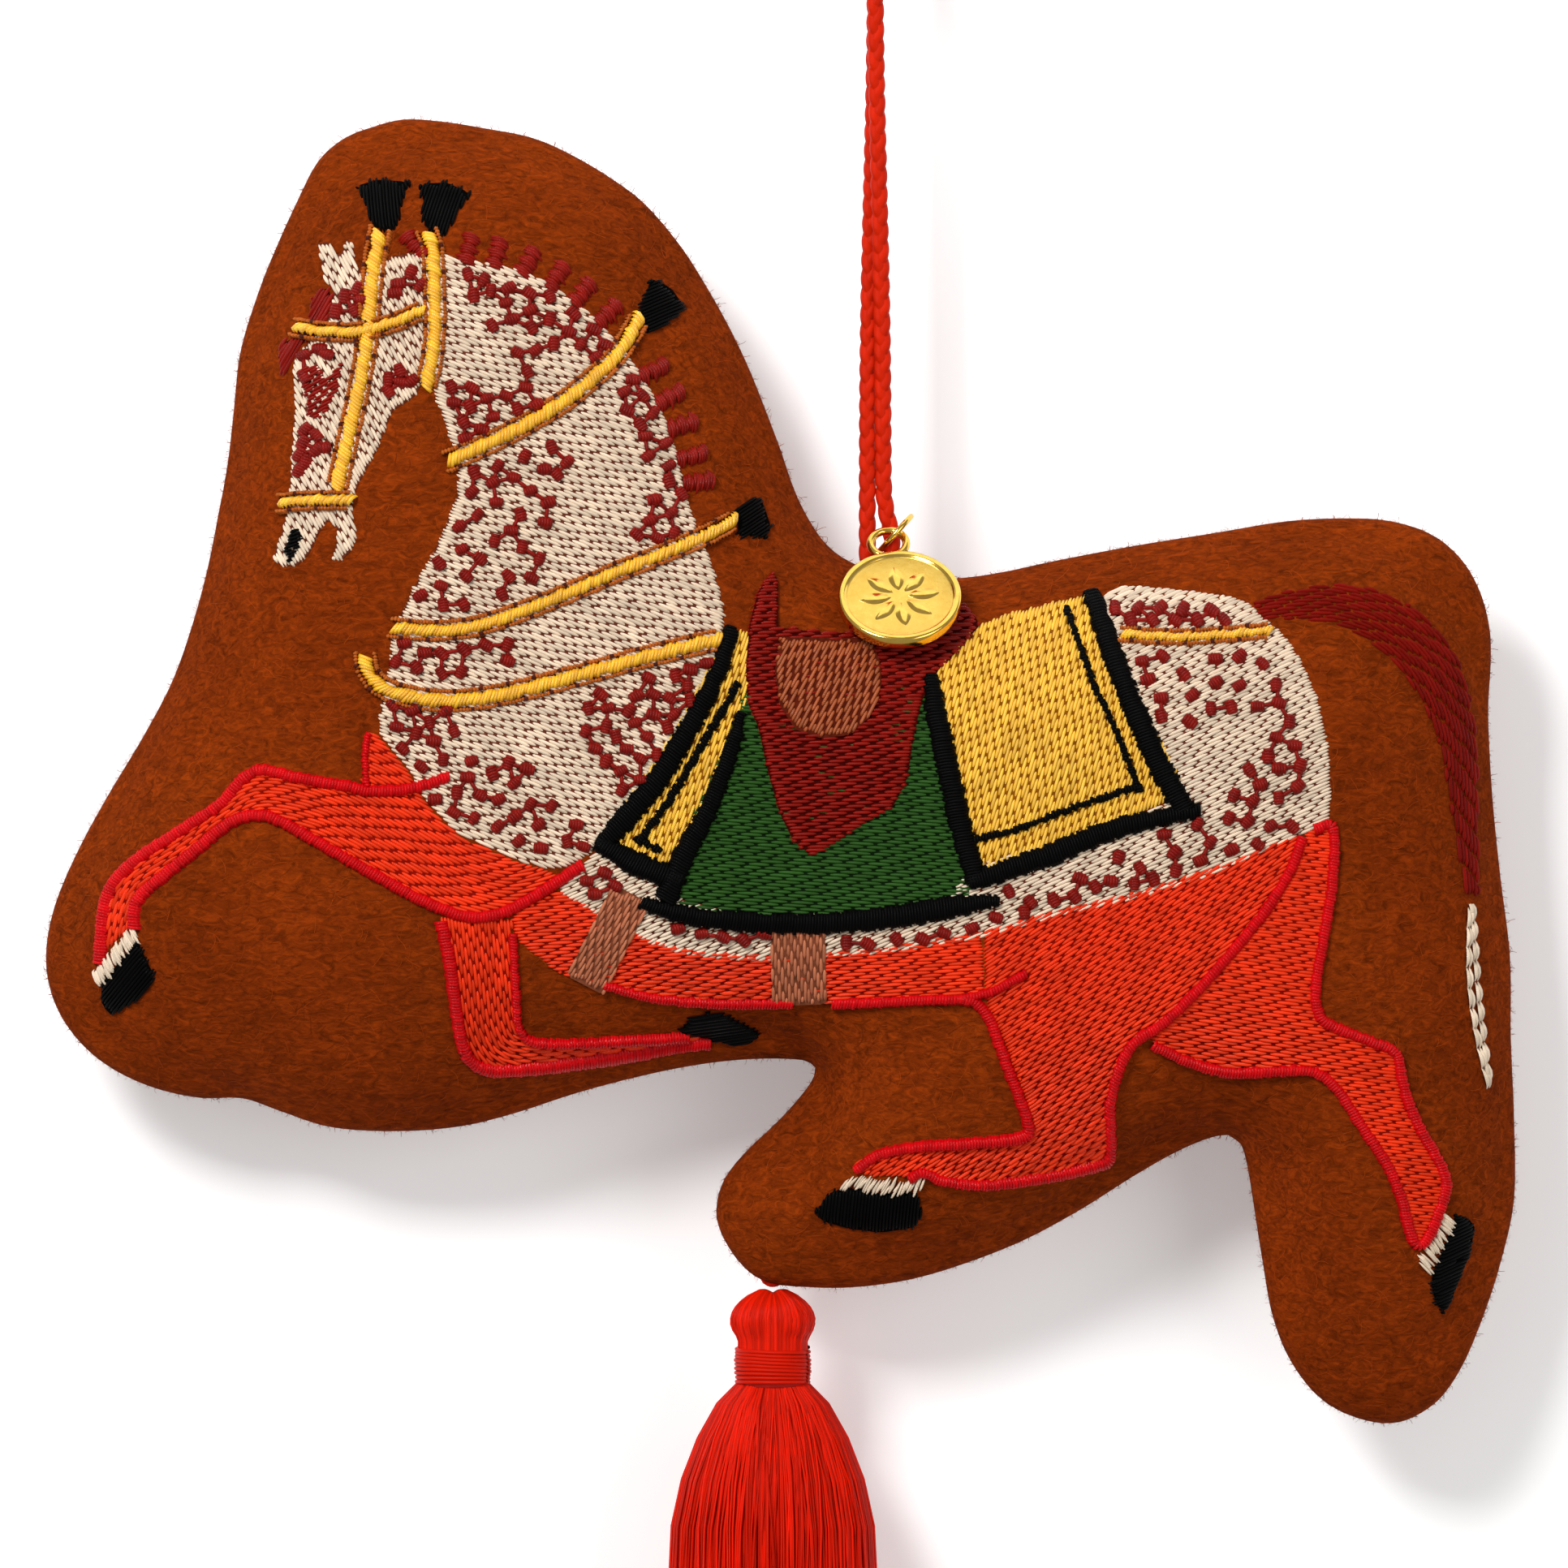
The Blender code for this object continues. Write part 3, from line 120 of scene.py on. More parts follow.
# areas filled with stitches: name, layers under it, thread, outline
FILLS = [
    ("coat_head", 0, "ivory", [
        (-69.2, 40), (-68.2, 40.2), (-67, 38.3), (-66.3, 38.7), (-65.8, 40.3), (-65.1, 40.2), (-64.8, 38),
        (-63.8, 36), (-61.5, 37.4), (-59.5, 38.4), (-56.6, 38.6), (-55.3, 38), (-55.3, 30), (-55.6, 24),
        (-57.2, 21), (-60, 19.2), (-62, 14.2), (-64.2, 10.2), (-64.9, 8), (-64.9, 6), (-64.4, 4.2),
        (-65, 2), (-66.3, 0.9), (-67.4, 1), (-66.7, 3.2), (-66.7, 4.8), (-67.5, 6.1), (-68.5, 5.2),
        (-69.3, 3.8), (-70.2, 1.8), (-71.5, 0.4), (-73.2, 0.1), (-74.7, 1), (-74.3, 2.6), (-73.6, 4.3),
        (-73.1, 6.4), (-72.6, 9.5), (-72.4, 14), (-72, 20), (-72.3, 25), (-71.8, 26.2), (-70.2, 28),
        (-68.2, 30), (-67.4, 32.2), (-67.2, 34), (-68.5, 36)]),
    ("coat_neck", 0, "ivory", [
        (-54.9, 38.4), (-51, 37.5), (-48, 37.1), (-45, 36.4), (-42, 35.2), (-39, 33.3), (-36, 31.1),
        (-34, 29.3), (-32.5, 27.5), (-31, 25.7), (-29.5, 23.6), (-28, 21), (-26.5, 17.8), (-25.3, 14.5),
        (-24.5, 11), (-23.8, 8), (-22.5, 4), (-21.3, 1.5), (-20, -2.5), (-19.3, -6), (-19.6, -9),
        (-20.8, -12.5), (-22.6, -16), (-24.8, -20), (-28, -24.8), (-31, -29), (-33.8, -32.8),
        (-35.6, -34.8), (-38, -36.4), (-40.5, -36.8), (-45, -35.6), (-48, -34.3), (-51.5, -32.7),
        (-54, -30.3), (-56.8, -27), (-57.5, -25), (-59.5, -22.6), (-61.4, -20.3), (-61.4, -18),
        (-61.2, -16), (-60.2, -12), (-60, -9), (-58.5, -5), (-57, -2), (-55, 1.5), (-53.4, 5), (-52, 8.5),
        (-51.7, 11), (-52.3, 14.5), (-53.5, 18), (-54.5, 20.5), (-54.9, 24)]),
    ("coat_body", 0, "ivory", [
        (-38.4, -39.6), (-36.6, -38), (-34.6, -36), (-33, -35.6), (-29.5, -36.8), (-25.5, -39), (-25, -42),
        (-18, -43.2), (-10, -43.6), (0, -43.2), (8, -42), (9.6, -40.6), (10.8, -38.4), (14, -37),
        (20, -35.2), (28, -32.8), (36, -29.8), (37.5, -27.5), (33.5, -20), (30.5, -14), (28.2, -7.5),
        (27.5, -3.6), (31, -3.2), (36, -3.6), (41, -4.2), (44.5, -4.9), (47.2, -7.4), (49, -9), (51, -12),
        (52.8, -16.5), (54, -22), (54.3, -28), (54, -30.8), (50, -33), (44, -35.4), (37, -37.8),
        (30, -39.9), (22, -41.6), (17.5, -42.9), (12, -44.4), (6, -45.5), (0, -46.4), (-6.5, -46.9),
        (-13.7, -47.4), (-21, -47), (-25.5, -46.2), (-28.4, -45.2), (-31.5, -43.6), (-34, -42.3),
        (-36, -41)]),
    ("leg_fore_raised", 0, "red", [
        (-63.3, -20.8), (-62.2, -20.4), (-60, -23), (-57.9, -25.5), (-57.2, -27.3), (-54.6, -30.8),
        (-51.8, -33.2), (-48.2, -34.9), (-45, -36.2), (-41.2, -37.3), (-39.2, -38.3), (-43, -41),
        (-47, -42.2), (-50, -42.5), (-55, -41), (-66, -35), (-72, -31.8), (-76.5, -30.2), (-80, -31.5),
        (-85, -35.2), (-91, -39.8), (-92.3, -44), (-95.8, -47.3), (-96, -45), (-95.2, -40), (-93, -37),
        (-86, -32.5), (-80, -28.3), (-77.5, -25.6), (-76, -25.4), (-70, -26.4), (-64, -27.2),
        (-63.3, -25)]),
    ("leg_fore_tucked", 0, "red", [
        (-53.8, -43), (-50.4, -43.1), (-46.9, -42.8), (-45.6, -43.4), (-45.3, -52), (-44.9, -57.2),
        (-43, -58.6), (-35, -58.6), (-24, -57.9), (-21, -58.3), (-24, -59), (-30, -60.2), (-38, -61.3),
        (-46, -61.9), (-50, -61), (-51, -58), (-52, -52), (-53, -47)]),
    ("belly", 0, "red", [
        (-45.2, -42.8), (-43, -41.6), (-39.7, -39.9), (-36.3, -41.5), (-34.2, -42.8), (-31.6, -44.1),
        (-28.6, -45.7), (-25.6, -46.7), (-21, -47.5), (-13.7, -47.9), (-6.5, -47.4), (0, -46.9), (6, -46),
        (12.2, -44.9), (12.6, -51.8), (7, -52.8), (0, -53), (-6, -53.2), (-11.5, -53.3), (-20, -53.4),
        (-28, -52.9), (-33.5, -51.2), (-39.6, -49.6), (-43.5, -46.5), (-45.1, -45)]),
    ("leg_hind_near", 0, "red", [
        (12.7, -44.8), (17.5, -43.4), (22, -42.1), (30, -40.4), (37, -38.3), (44, -35.9), (50, -33.5),
        (51.2, -33), (49.3, -38), (45.6, -43.5), (41.5, -48), (36.5, -53.3), (32.7, -57), (30.3, -58.6),
        (29.3, -62), (28, -67), (28.3, -71.5), (28.8, -72.8), (26, -73.5), (20, -74.7), (13, -75.6),
        (8, -75.2), (5, -74.2), (3, -74.7), (-1, -74.7), (-3.2, -73.9), (0, -71.8), (5, -70.9), (12, -70.4),
        (19, -69.8), (17.5, -65), (15.5, -59), (13.2, -54), (12.9, -52)]),
    ("leg_hind_far", 0, "red", [
        (52.3, -32.4), (54.8, -31.1), (55.5, -31.6), (55.4, -37), (54.7, -44), (53.6, -50), (53.2, -54.5),
        (55, -56), (58.5, -57.8), (63.3, -59.6), (63.4, -62), (64.2, -66), (66.5, -70.5), (69.3, -75),
        (69.4, -77.3), (68.2, -80), (66.4, -83), (65.2, -82), (64.4, -78.5), (62.8, -74), (60.5, -70),
        (57.8, -66), (55, -62.4), (52, -61.2), (48, -61.4), (44, -62), (40, -61.3), (36, -59.5),
        (33.3, -58), (37.1, -54), (42.1, -48.8), (46.5, -43.8), (50.2, -38), (51.8, -33.6)]),
    ("hoof_fore_raised", 0, "black", [
        (-91.3, -46), (-90.4, -48), (-89.3, -50.2), (-91.4, -53), (-94.8, -55), (-96, -53.8), (-96, -51.6),
        (-94, -49)]),
    ("hoof_fore_tucked", 0, "black", [
        (-24.8, -56.8), (-23.4, -55.5), (-21.3, -54.9), (-19.3, -55), (-17, -56), (-14.9, -57.2),
        (-15.6, -58.1), (-18.6, -58.5), (-21.3, -57.9)]),
    ("hoof_hind_near", 0, "black", [
        (-7.8, -79.3), (-6, -76.9), (-4, -76.3), (0, -77), (4.2, -76.8), (5.1, -79.4), (4, -81.2),
        (0, -81.8), (-4, -81.3), (-7.2, -80.4)]),
    ("hoof_hind_far", 0, "black", [
        (70.8, -79.7), (72.3, -80), (73.2, -81.3), (72.6, -84.5), (71.5, -87.2), (70, -91), (69.1, -91.6),
        (68.3, -90.3), (67.7, -87.8), (68.6, -85.6), (69.9, -82.3)]),
    ("blanket", 0, "green", [
        (-16.3, -16.5), (-6, -15.6), (5, -15.2), (6.4, -22), (8.3, -30), (10, -37.5), (10.4, -40.3),
        (8, -41.4), (0, -42.4), (-10, -43), (-18, -42.3), (-25.8, -40.4), (-24.4, -36.2), (-22, -30),
        (-19.4, -24.5), (-17.4, -19.4)]),
    ("front_cloth", 0, "gold", [
        (-17, -8.4), (-18.3, -8.6), (-19.4, -11), (-20.4, -12.5), (-22.3, -16), (-24.5, -20),
        (-27.6, -24.8), (-30.6, -29), (-32.4, -33), (-32.4, -34.8), (-28, -36.2), (-25.1, -35.2),
        (-22.8, -31), (-20.2, -25), (-18.1, -19.5), (-17, -14)]),
    ("rear_cloth", 0, "gold", [
        (7.3, -12.5), (12, -7.8), (16, -6.3), (21.7, -4.8), (26, -3.9), (27.5, -7.5), (29.9, -14),
        (33, -20), (36.6, -27.2), (28, -31.2), (20, -34.2), (12.2, -37.2), (10.8, -35), (9.6, -30),
        (8, -22), (6.6, -15)]),
    ("saddle", 1, "maroon", [
        (-13.5, -0.8), (-12.8, -1.6), (-12.7, -7.5), (-6, -8.3), (2, -7.6), (8, -6), (10.6, -4.8),
        (12.3, -7.2), (9.9, -10), (6.8, -13), (5, -16.5), (4, -21), (3.2, -26), (1.5, -29.3), (-2, -31.3),
        (-6.5, -34.3), (-8.7, -35.3), (-10.8, -33.5), (-12.5, -30), (-14, -24.5), (-15, -19.8),
        (-16.4, -16.5), (-16.6, -12), (-16.2, -7), (-15.2, -3)]),
    ("saddle_seat", 2, "tan", [
        (-12.4, -8.7), (-6.5, -8.9), (-1.3, -9), (-0.1, -12), (0, -15), (-1.3, -18.4), (-4, -20.7),
        (-7.5, -21), (-10.5, -20), (-12.5, -17), (-13.1, -12.5)]),
    ("plume_poll_left", 0, "black", [
        (-62.4, 42), (-63.2, 44.5), (-64.4, 47.1), (-62, 47.8), (-58.2, 47.5), (-59.2, 44.2),
        (-59.8, 41.3)]),
    ("plume_poll_right", 0, "black", [
        (-56.1, 42), (-56.2, 44.8), (-56.7, 47.2), (-53.5, 47.4), (-50.6, 46.1), (-52.4, 43.4),
        (-53.9, 40.6)]),
    ("plume_neck_upper", 0, "black", [
        (-28.4, 35.6), (-26, 34.6), (-24.2, 32), (-26.4, 30.2), (-28.7, 28.9), (-29.8, 31)]),
    ("plume_neck_lower", 0, "black", [
        (-17.9, 6.7), (-15, 8.9), (-14.3, 7), (-13.7, 5.2), (-13.8, 4), (-17.6, 3.9), (-17.6, 5.3)]),
    ("forelock", 0, "maroon", [
        (-70.6, 29), (-69.8, 33.3), (-68.2, 34.7), (-67.6, 33.8), (-67.8, 32.3), (-68.6, 30.2),
        (-70.6, 28.2), (-72.2, 26.6), (-73.6, 24), (-74.2, 26.2), (-73.2, 28)]),
    ("nostril", 1, "black", [
        (-71.2, 4.7), (-72.6, 4.1), (-73.3, 2), (-72.7, 0.9), (-71.8, 1.7), (-71, 3.5)]),
]

# bands of stitches: name, layers under it, thread, and each run's width (or widths along it) and centre line
BANDS = [
    ("outline_fore_raised", 1, "crimson", [
        (1.68, [(-53, -25.7), (-57, -27), (-62, -27.5), (-66, -26.8), (-72, -25.8), (-76, -24.9),
            (-78.5, -26.2), (-81, -29), (-86, -32.4), (-91, -35.6), (-94.4, -38.8), (-95.6, -42),
            (-96, -45.6), (-96.2, -48.4)]),
        (1.68, [(-91.9, -44.4), (-91.5, -41), (-88, -37.8), (-84, -34.6), (-80, -31.4), (-77, -30.5),
            (-74, -31), (-69, -33.8), (-62, -37.8), (-56, -41), (-50.5, -42.9), (-46, -42.2), (-41, -39.4),
            (-36.8, -36.7)]),
        (0.96, [(-62.9, -20.4), (-63.3, -23), (-63.1, -26.6)])]),
    ("outline_fore_tucked", 1, "crimson", [
        (1.8, [(-54, -43.5), (-53, -48), (-52.2, -54), (-51.2, -59.4), (-48.8, -61.6), (-44, -61.7),
            (-38, -61), (-30, -59.9), (-24, -58.8), (-21.3, -58.6)]),
        (1.2, [(-45.2, -45), (-44.9, -51), (-44.6, -56), (-43, -58.2), (-38, -58.5), (-30, -58.1),
            (-24, -57.7)])]),
    ("outline_hind_near", 1, "crimson", [
        (1.56, [(-5.8, -53.6), (0, -53.4), (7, -53.1), (11.3, -53.3), (13.2, -55.3), (14.3, -58),
            (15.8, -62), (18, -68), (17.5, -70), (12, -70.7), (5, -71.2), (0, -72.2), (-2.8, -74)]),
        (1.56, [(3.6, -75.2), (5.2, -74.4), (8, -75.4), (13, -75.9), (20, -75), (26.5, -73.6), (28.3, -72),
            (28.2, -66), (29.3, -61.5), (31, -58.4), (34.5, -56), (38, -52.8), (43, -47.3), (47.3, -42),
            (50.3, -37), (51.6, -33.4)]),
        (1.32, [(-34, -51.2), (-28, -52.8), (-20, -53.5), (-11, -53.5)]),
        (1.32, [(9.5, -53), (13.5, -52.1), (17.6, -50)])]),
    ("outline_hind_far", 1, "crimson", [
        (1.56, [(53.2, -32.2), (55.1, -31.6), (55.6, -34), (55.2, -40), (54.2, -46), (53.3, -52),
            (53.9, -55.1), (56, -56.6), (60, -58.2), (63.2, -59.7), (64, -63), (65.5, -67.5), (68, -72),
            (69.5, -75.4), (68.9, -78.6), (67.2, -82.6), (65.9, -83.3), (64.9, -81), (64, -77.5), (62, -73),
            (59, -68.5), (56, -64), (53, -61.9), (48, -61.9), (43, -62), (38, -60.7), (33.6, -58.7)])]),
    ("coronet_fore_raised", 0, "ivory", [
        (1.89, [(-96.8, -50.9), (-95.2, -49.2), (-93.2, -47), (-91.8, -45.2)])]),
    ("coronet_hind_near", 0, "ivory", [
        (1.68, [(-4.6, -75.6), (-2, -75.9), (1.4, -76.2), (4.4, -76)])]),
    ("coronet_hind_far", 0, "ivory", [
        (2.1, [(70, -79.3), (69.2, -81.6), (67.9, -84), (67.1, -85.8)])]),
    ("tail", 0, "maroon", [
        ((1.8, 3.6, 5.4, 6.6, 6.0, 4.6, 3.4, 2.2, 1.6), [(46, -5.2), (50.5, -4.6), (56, -4.5), (61.5, -6.2),
            (66, -9.8), (69.2, -14.8), (71.2, -21.5), (72, -30), (73, -40.6)])]),
    ("tail_tip", 0, "ivory", [
        ((1.5, 2.2, 1.8, 0.9), [(72.8, -41.4), (73, -50), (73.8, -57), (75.2, -64.5)])]),
    ("blanket_border", 2, "black", [
        ((1.6, 2.2, 2.5, 2.6, 2.8, 3.0, 1.3), [(-29.4, -41), (-26.5, -42), (-20, -43.2), (-10, -43.7),
            (0, -43.1), (8, -41.8), (14.2, -40.9)])]),
    ("front_cloth_border", 2, "black", [
        ((1.7, 2.0, 2.4, 2.7, 2.8, 3.0, 2.2), [(-18.4, -7.4), (-19, -10.2), (-21, -15), (-23.7, -20),
            (-26.7, -25), (-30.6, -30), (-34.4, -34.3)]),
        ((2.2, 3.2, 2.4), [(-34.8, -33.8), (-29.5, -36.6), (-24.8, -38.4)]),
        ((1.2, 1.9, 2.2, 2.4, 2.7, 3.0), [(-17.2, -17.8), (-17.9, -21), (-19.3, -25), (-21.2, -30),
            (-23.5, -34), (-26.4, -40.6)])]),
    ("front_cloth_line", 1, "black", [
        (1.0, [(-17.6, -14.2), (-19.5, -17.8), (-20.9, -20), (-23.8, -25), (-25.8, -28.3), (-28.2, -31.7),
            (-29.7, -33.6)]),
        (0.9, [(-30.2, -33.1), (-27.2, -34.7)])]),
    ("rear_cloth_border", 2, "black", [
        ((2.0, 2.7, 2.9, 2.9, 2.8, 2.6), [(6.2, -13.4), (6.6, -17), (7.4, -21), (8.6, -26.5), (9.9, -32),
            (11.6, -38.4)]),
        ((2.4, 2.7, 2.8, 2.6, 1.7), [(10.9, -38.6), (16.5, -36.8), (21.5, -35), (29, -32), (38.9, -29.9)]),
        ((2.2, 2.7, 2.8, 2.8, 3.0, 2.9), [(26.0, -3.2), (28.3, -10), (30.1, -15), (32.2, -20), (34.5, -25),
            (37.2, -29.6)])]),
    ("rear_cloth_line", 1, "black", [
        (0.8, [(22.9, -5), (24.4, -9.5), (26.3, -14.7), (28.8, -20), (31.7, -27.3)]),
        (0.85, [(31.9, -26.8), (26.5, -28.5), (21.5, -30.3), (16.5, -32.2), (11.6, -33.4)])]),
    ("girth_front", 1, "brown", [
        (5.0, [(-30.6, -40), (-32.4, -43.5), (-34.5, -47.6), (-36.4, -51.2)])]),
    ("girth_rear", 1, "brown", [
        (6.6, [(-10.2, -43.4), (-10.1, -48.6), (-9.9, -53.6)])]),
    ("strap_cheek", 1, "gold", [
        (1.85, [(-61.5, 41.6), (-62.1, 38), (-62.5, 34), (-63, 28), (-64, 22), (-65.3, 16),
            (-66.6, 10.2)])]),
    ("strap_throat", 1, "gold", [
        (1.85, [(-55.8, 41.3), (-55.1, 39), (-54.8, 35), (-54.7, 30), (-55, 26), (-55.7, 22.6)])]),
    ("strap_brow", 2, "gold", [
        (1.45, [(-72, 29.6), (-68.5, 29), (-64, 28.9), (-60, 29.9), (-56.6, 31.3)])]),
    ("strap_nose", 2, "gold", [
        (1.45, [(-73.8, 7.9), (-70, 8.2), (-65.4, 8.2)])]),
    ("strap_neck_upper", 1, "gold", [
        (1.85, [(-53.4, 12.9), (-49, 14.8), (-44, 17.3), (-39, 20.3), (-35, 23.6), (-32, 26.8),
            (-30.1, 30.2)])]),
    ("strap_neck_lower", 1, "gold", [
        (1.65, [(-60.2, -7.4), (-55, -7.8), (-50, -7.3), (-44, -5.4), (-38, -3), (-32, -0.4), (-26, 2),
            (-21, 4.2), (-18.6, 5.6)])]),
    ("strap_collar", 1, "gold", [
        (1.85, [(-63.3, -10.6), (-62.8, -13), (-60.6, -15), (-56, -16.2), (-51, -16.3), (-45, -15.3),
            (-38, -13.5), (-30, -11.3), (-24, -9.8), (-20.4, -9)])]),
    ("strap_crupper", 1, "gold", [
        (1.05, [(29.5, -8.3), (36, -8.7), (42, -8.4), (47.3, -7.9)])]),
]

# the coat's maroon dots, in groups
DOTS = {
    "neck_top": [
        (-50.7, 35.9), (-48.8, 35.2), (-47.9, 33.9), (-45.8, 34.2), (-50, 33.3), (-46.1, 32.4),
        (-43.2, 33.6), (-40.7, 33.2), (-43.1, 31.5), (-45.3, 30.4), (-47.7, 29.6), (-40.7, 30.4),
        (-37.8, 31.1), (-42.9, 29.4), (-38.4, 28.9), (-35.4, 29.2), (-40.2, 27.4), (-36.9, 27.3),
        (-34, 27.3), (-42.4, 26.6), (-44.6, 26.3), (-35.1, 25.8), (-43.4, 24), (-43.6, 22), (-52.7, 22.1),
        (-50.2, 22), (-52.4, 20.2), (-50.4, 19.7), (-48.3, 20.7), (-46, 21), (-47.6, 18.4), (-51.2, 17.8),
        (-49, 16.9), (-51, 15.8), (-42.3, 19.9), (-44.6, 19.4)],
    "neck_middle": [
        (-43.7, 13.6), (-40.4, 14.7), (-38.5, 12.9), (-47, 12.4), (-49.9, 11.6), (-41.3, 12), (-39.8, 11.4),
        (-45.1, 11), (-47.6, 10.4), (-50.2, 9.2), (-43, 9.4), (-47.2, 8), (-44.2, 6.5), (-40.8, 7.9),
        (-41.2, 5.5), (-49.5, 6.4), (-51.7, 5), (-47.4, 3.2), (-45.4, 4.5), (-44, 2.5), (-51.4, 2.2),
        (-49.2, 1), (-41.9, 1), (-54.2, 0.5), (-50.9, -1.1), (-45.7, -1.1), (-42.9, -1.3), (-54, -2.3),
        (-46.5, -3.3), (-56.5, -3.5), (-53.7, -4.6), (-51.2, -4.6)],
    "neck_crest": [
        (-30.6, 23), (-31.6, 21.5), (-29.4, 21.1), (-31.3, 19.3), (-28.1, 18.9), (-29.6, 17.5),
        (-29.1, 16.1), (-26.6, 15.2), (-28.7, 13.6), (-26.2, 12.4), (-26.1, 10.6), (-24.6, 9), (-27.9, 8.3),
        (-25.9, 6.6), (-28.4, 5.7), (-30, 4), (-27.5, 3.6), (-25.5, 4.2)],
    "neck_low": [
        (-58.5, -9.3), (-56, -10.5), (-53.9, -10.6), (-51.2, -10.1), (-48.5, -9.6), (-45.8, -9.5),
        (-45.8, -11.5), (-59.5, -11.6), (-57, -12.3), (-53.9, -13), (-51.5, -12.8)],
    "breast_left": [
        (-59.9, -17), (-57.5, -17.6), (-53.4, -17.6), (-55.4, -19), (-59.4, -19.6), (-57, -20.3),
        (-52.4, -20.1), (-54.9, -21.3), (-58.7, -22.3), (-53.7, -23.6), (-56.4, -24.5), (-50.2, -23.8)],
    "breast_low": [
        (-50.7, -25.8), (-47.7, -25.3), (-45.7, -24), (-43.4, -24.8), (-45, -26.5), (-52, -27.6),
        (-49.2, -28), (-46.9, -28.5), (-54.7, -28.5), (-43, -29.1), (-40.4, -29.3), (-52.4, -30.1),
        (-49.9, -30.8), (-44.9, -30.6), (-42, -31.6), (-47, -31.8), (-37.4, -31.6), (-44.4, -33.6),
        (-38.5, -33.6), (-41.7, -34.5), (-36.5, -34.3)],
    "breast_right": [
        (-34.4, -15.6), (-35.9, -17.3), (-33.5, -17.3), (-30.9, -17.6), (-30, -15.8), (-27.9, -15.6),
        (-28.5, -13.6), (-25.2, -13.3), (-23.7, -14.5), (-21.4, -11.8), (-23.4, -12.6), (-25.9, -16.1),
        (-23.4, -16.3), (-27.9, -18.1), (-25.4, -18.1), (-33.7, -19.5), (-30.2, -19.1), (-36.2, -20.1),
        (-32.5, -20.8), (-28.7, -20.8), (-26.2, -19.6), (-35, -22.3), (-31.2, -22.3), (-33.7, -23.8),
        (-29.5, -23.5), (-27.5, -23), (-31.9, -25), (-29.5, -26.1), (-31.7, -27.3)],
    "head": [
        (-57.7, 36.2), (-59.2, 34.8), (-56.5, 34.6), (-59.6, 33.7), (-64.2, 34.2), (-65.8, 33.3),
        (-63.8, 32.9), (-66.9, 31.5), (-64.6, 31.5), (-70.8, 26.2), (-68.8, 26.9), (-67.9, 26.2),
        (-70.8, 23.5), (-70.6, 17), (-69.2, 16.2), (-70.9, 15.4), (-71.3, 13.9), (-68.2, 14.7),
        (-69.2, 14.5), (-70.6, 13.1), (-71.4, 12), (-59, 24.1), (-60.4, 23.1), (-58.8, 22.7), (-57.5, 22.9),
        (-60.4, 21.6)],
    "rump": [
        (28.9, -5.2), (31.7, -5.1), (34.4, -5.1), (37.2, -5.3), (40.8, -5.4), (30.8, -6.6), (33.5, -6.6),
        (36.3, -6.6), (39, -6.6), (42.3, -6.6), (32.1, -11.6), (34.7, -11), (32.8, -13.8), (37.2, -13.2),
        (41.1, -11.3), (44, -11), (46.9, -11.9), (41.1, -14.2), (44, -14.6), (48.5, -14.5), (34.4, -16.1),
        (38.2, -15.8), (34.4, -18.3), (37.9, -19), (40.5, -17.4), (43, -17.2), (46.2, -17.1), (48.8, -16.7),
        (50.1, -19), (48.5, -20.9), (50.7, -21.9), (47.5, -23.2), (45.2, -24.9), (48.8, -24.7),
        (51.4, -24.4), (46.5, -26.7), (51.1, -26.9), (43.3, -28), (45.6, -28.7), (48.8, -28.3),
        (42.7, -30.8), (45, -31.2), (47.8, -31.8), (50.4, -31.8)],
    "flank": [
        (38.8, -31.5), (34.7, -32.8), (40.4, -33.7), (43, -34.7), (46.2, -34), (36, -35), (39.2, -36),
        (31.8, -36.9), (29.2, -35.6), (33.4, -38.2), (31.1, -38.8), (36.2, -37.2), (28.2, -38.5),
        (24.4, -38.2), (26.3, -39.2), (23.7, -40.4), (21.2, -40.8), (18.3, -41.1), (15.7, -39.8),
        (17.6, -42.3), (14.1, -43), (11.2, -44.3), (7.7, -44.9), (5.1, -45.6), (1.9, -45.6), (-1.6, -46.2),
        (-4.2, -45.9), (-14.3, -44.9), (-16.9, -45.6), (-19.4, -45.3), (-22, -44.9), (-24.9, -44.3),
        (-36.1, -38.5), (-33.9, -37.5), (-35.1, -40.1), (-32.6, -39.1)],
}

# ---------------------------------------------------------------- places and shapes


def world(points):
    """World metres from drawing points (x, y, z) in millimetres."""
    return (np.asarray(points, float) - [CORD_X, 0, DROP]) * MM


def smooth(points, step, closed=False):
    """Points about a step apart on a smooth curve through the given ones."""
    count = len(points)
    out = []
    for i in range(count if closed else count - 1):
        near = [i + k for k in (-1, 0, 1, 2)]
        if closed:
            near = [k % count for k in near]
        else:
            near = [min(max(k, 0), count - 1) for k in near]
        a, b, c, d = (np.array(points[k], float) for k in near)
        parts = max(1, round(np.linalg.norm(c - b) / step))
        for k in range(parts):
            t = k / parts
            out.append(0.5 * (2 * b + (c - a) * t + (2 * a - 5 * b + 4 * c - d) * t**2
                              + (3 * b - a - 3 * c + d) * t**3))
    if not closed:
        out.append(np.array(points[-1], float))
    return np.array(out)


def lengths_along(line):
    """How far each of a polyline's points is along it."""
    return np.concatenate([[0], np.cumsum(np.linalg.norm(np.diff(line, axis=0), axis=1))])


def at_lengths(line, marks):
    """The points that lie at some lengths along a polyline."""
    line = np.asarray(line, float)
    along = lengths_along(line)
    return np.stack([np.interp(marks, along, line[:, k]) for k in range(line.shape[1])], axis=1)


def spaced(line, step):
    """A polyline's points, evenly spaced."""
    total = lengths_along(np.asarray(line, float))[-1]
    return at_lengths(line, np.linspace(0, total, max(2, int(round(total / step)) + 1)))


def unit(ways, least=0.0):
    """Directions of length 1."""
    return ways / np.maximum(np.linalg.norm(ways, axis=-1, keepdims=True), least)


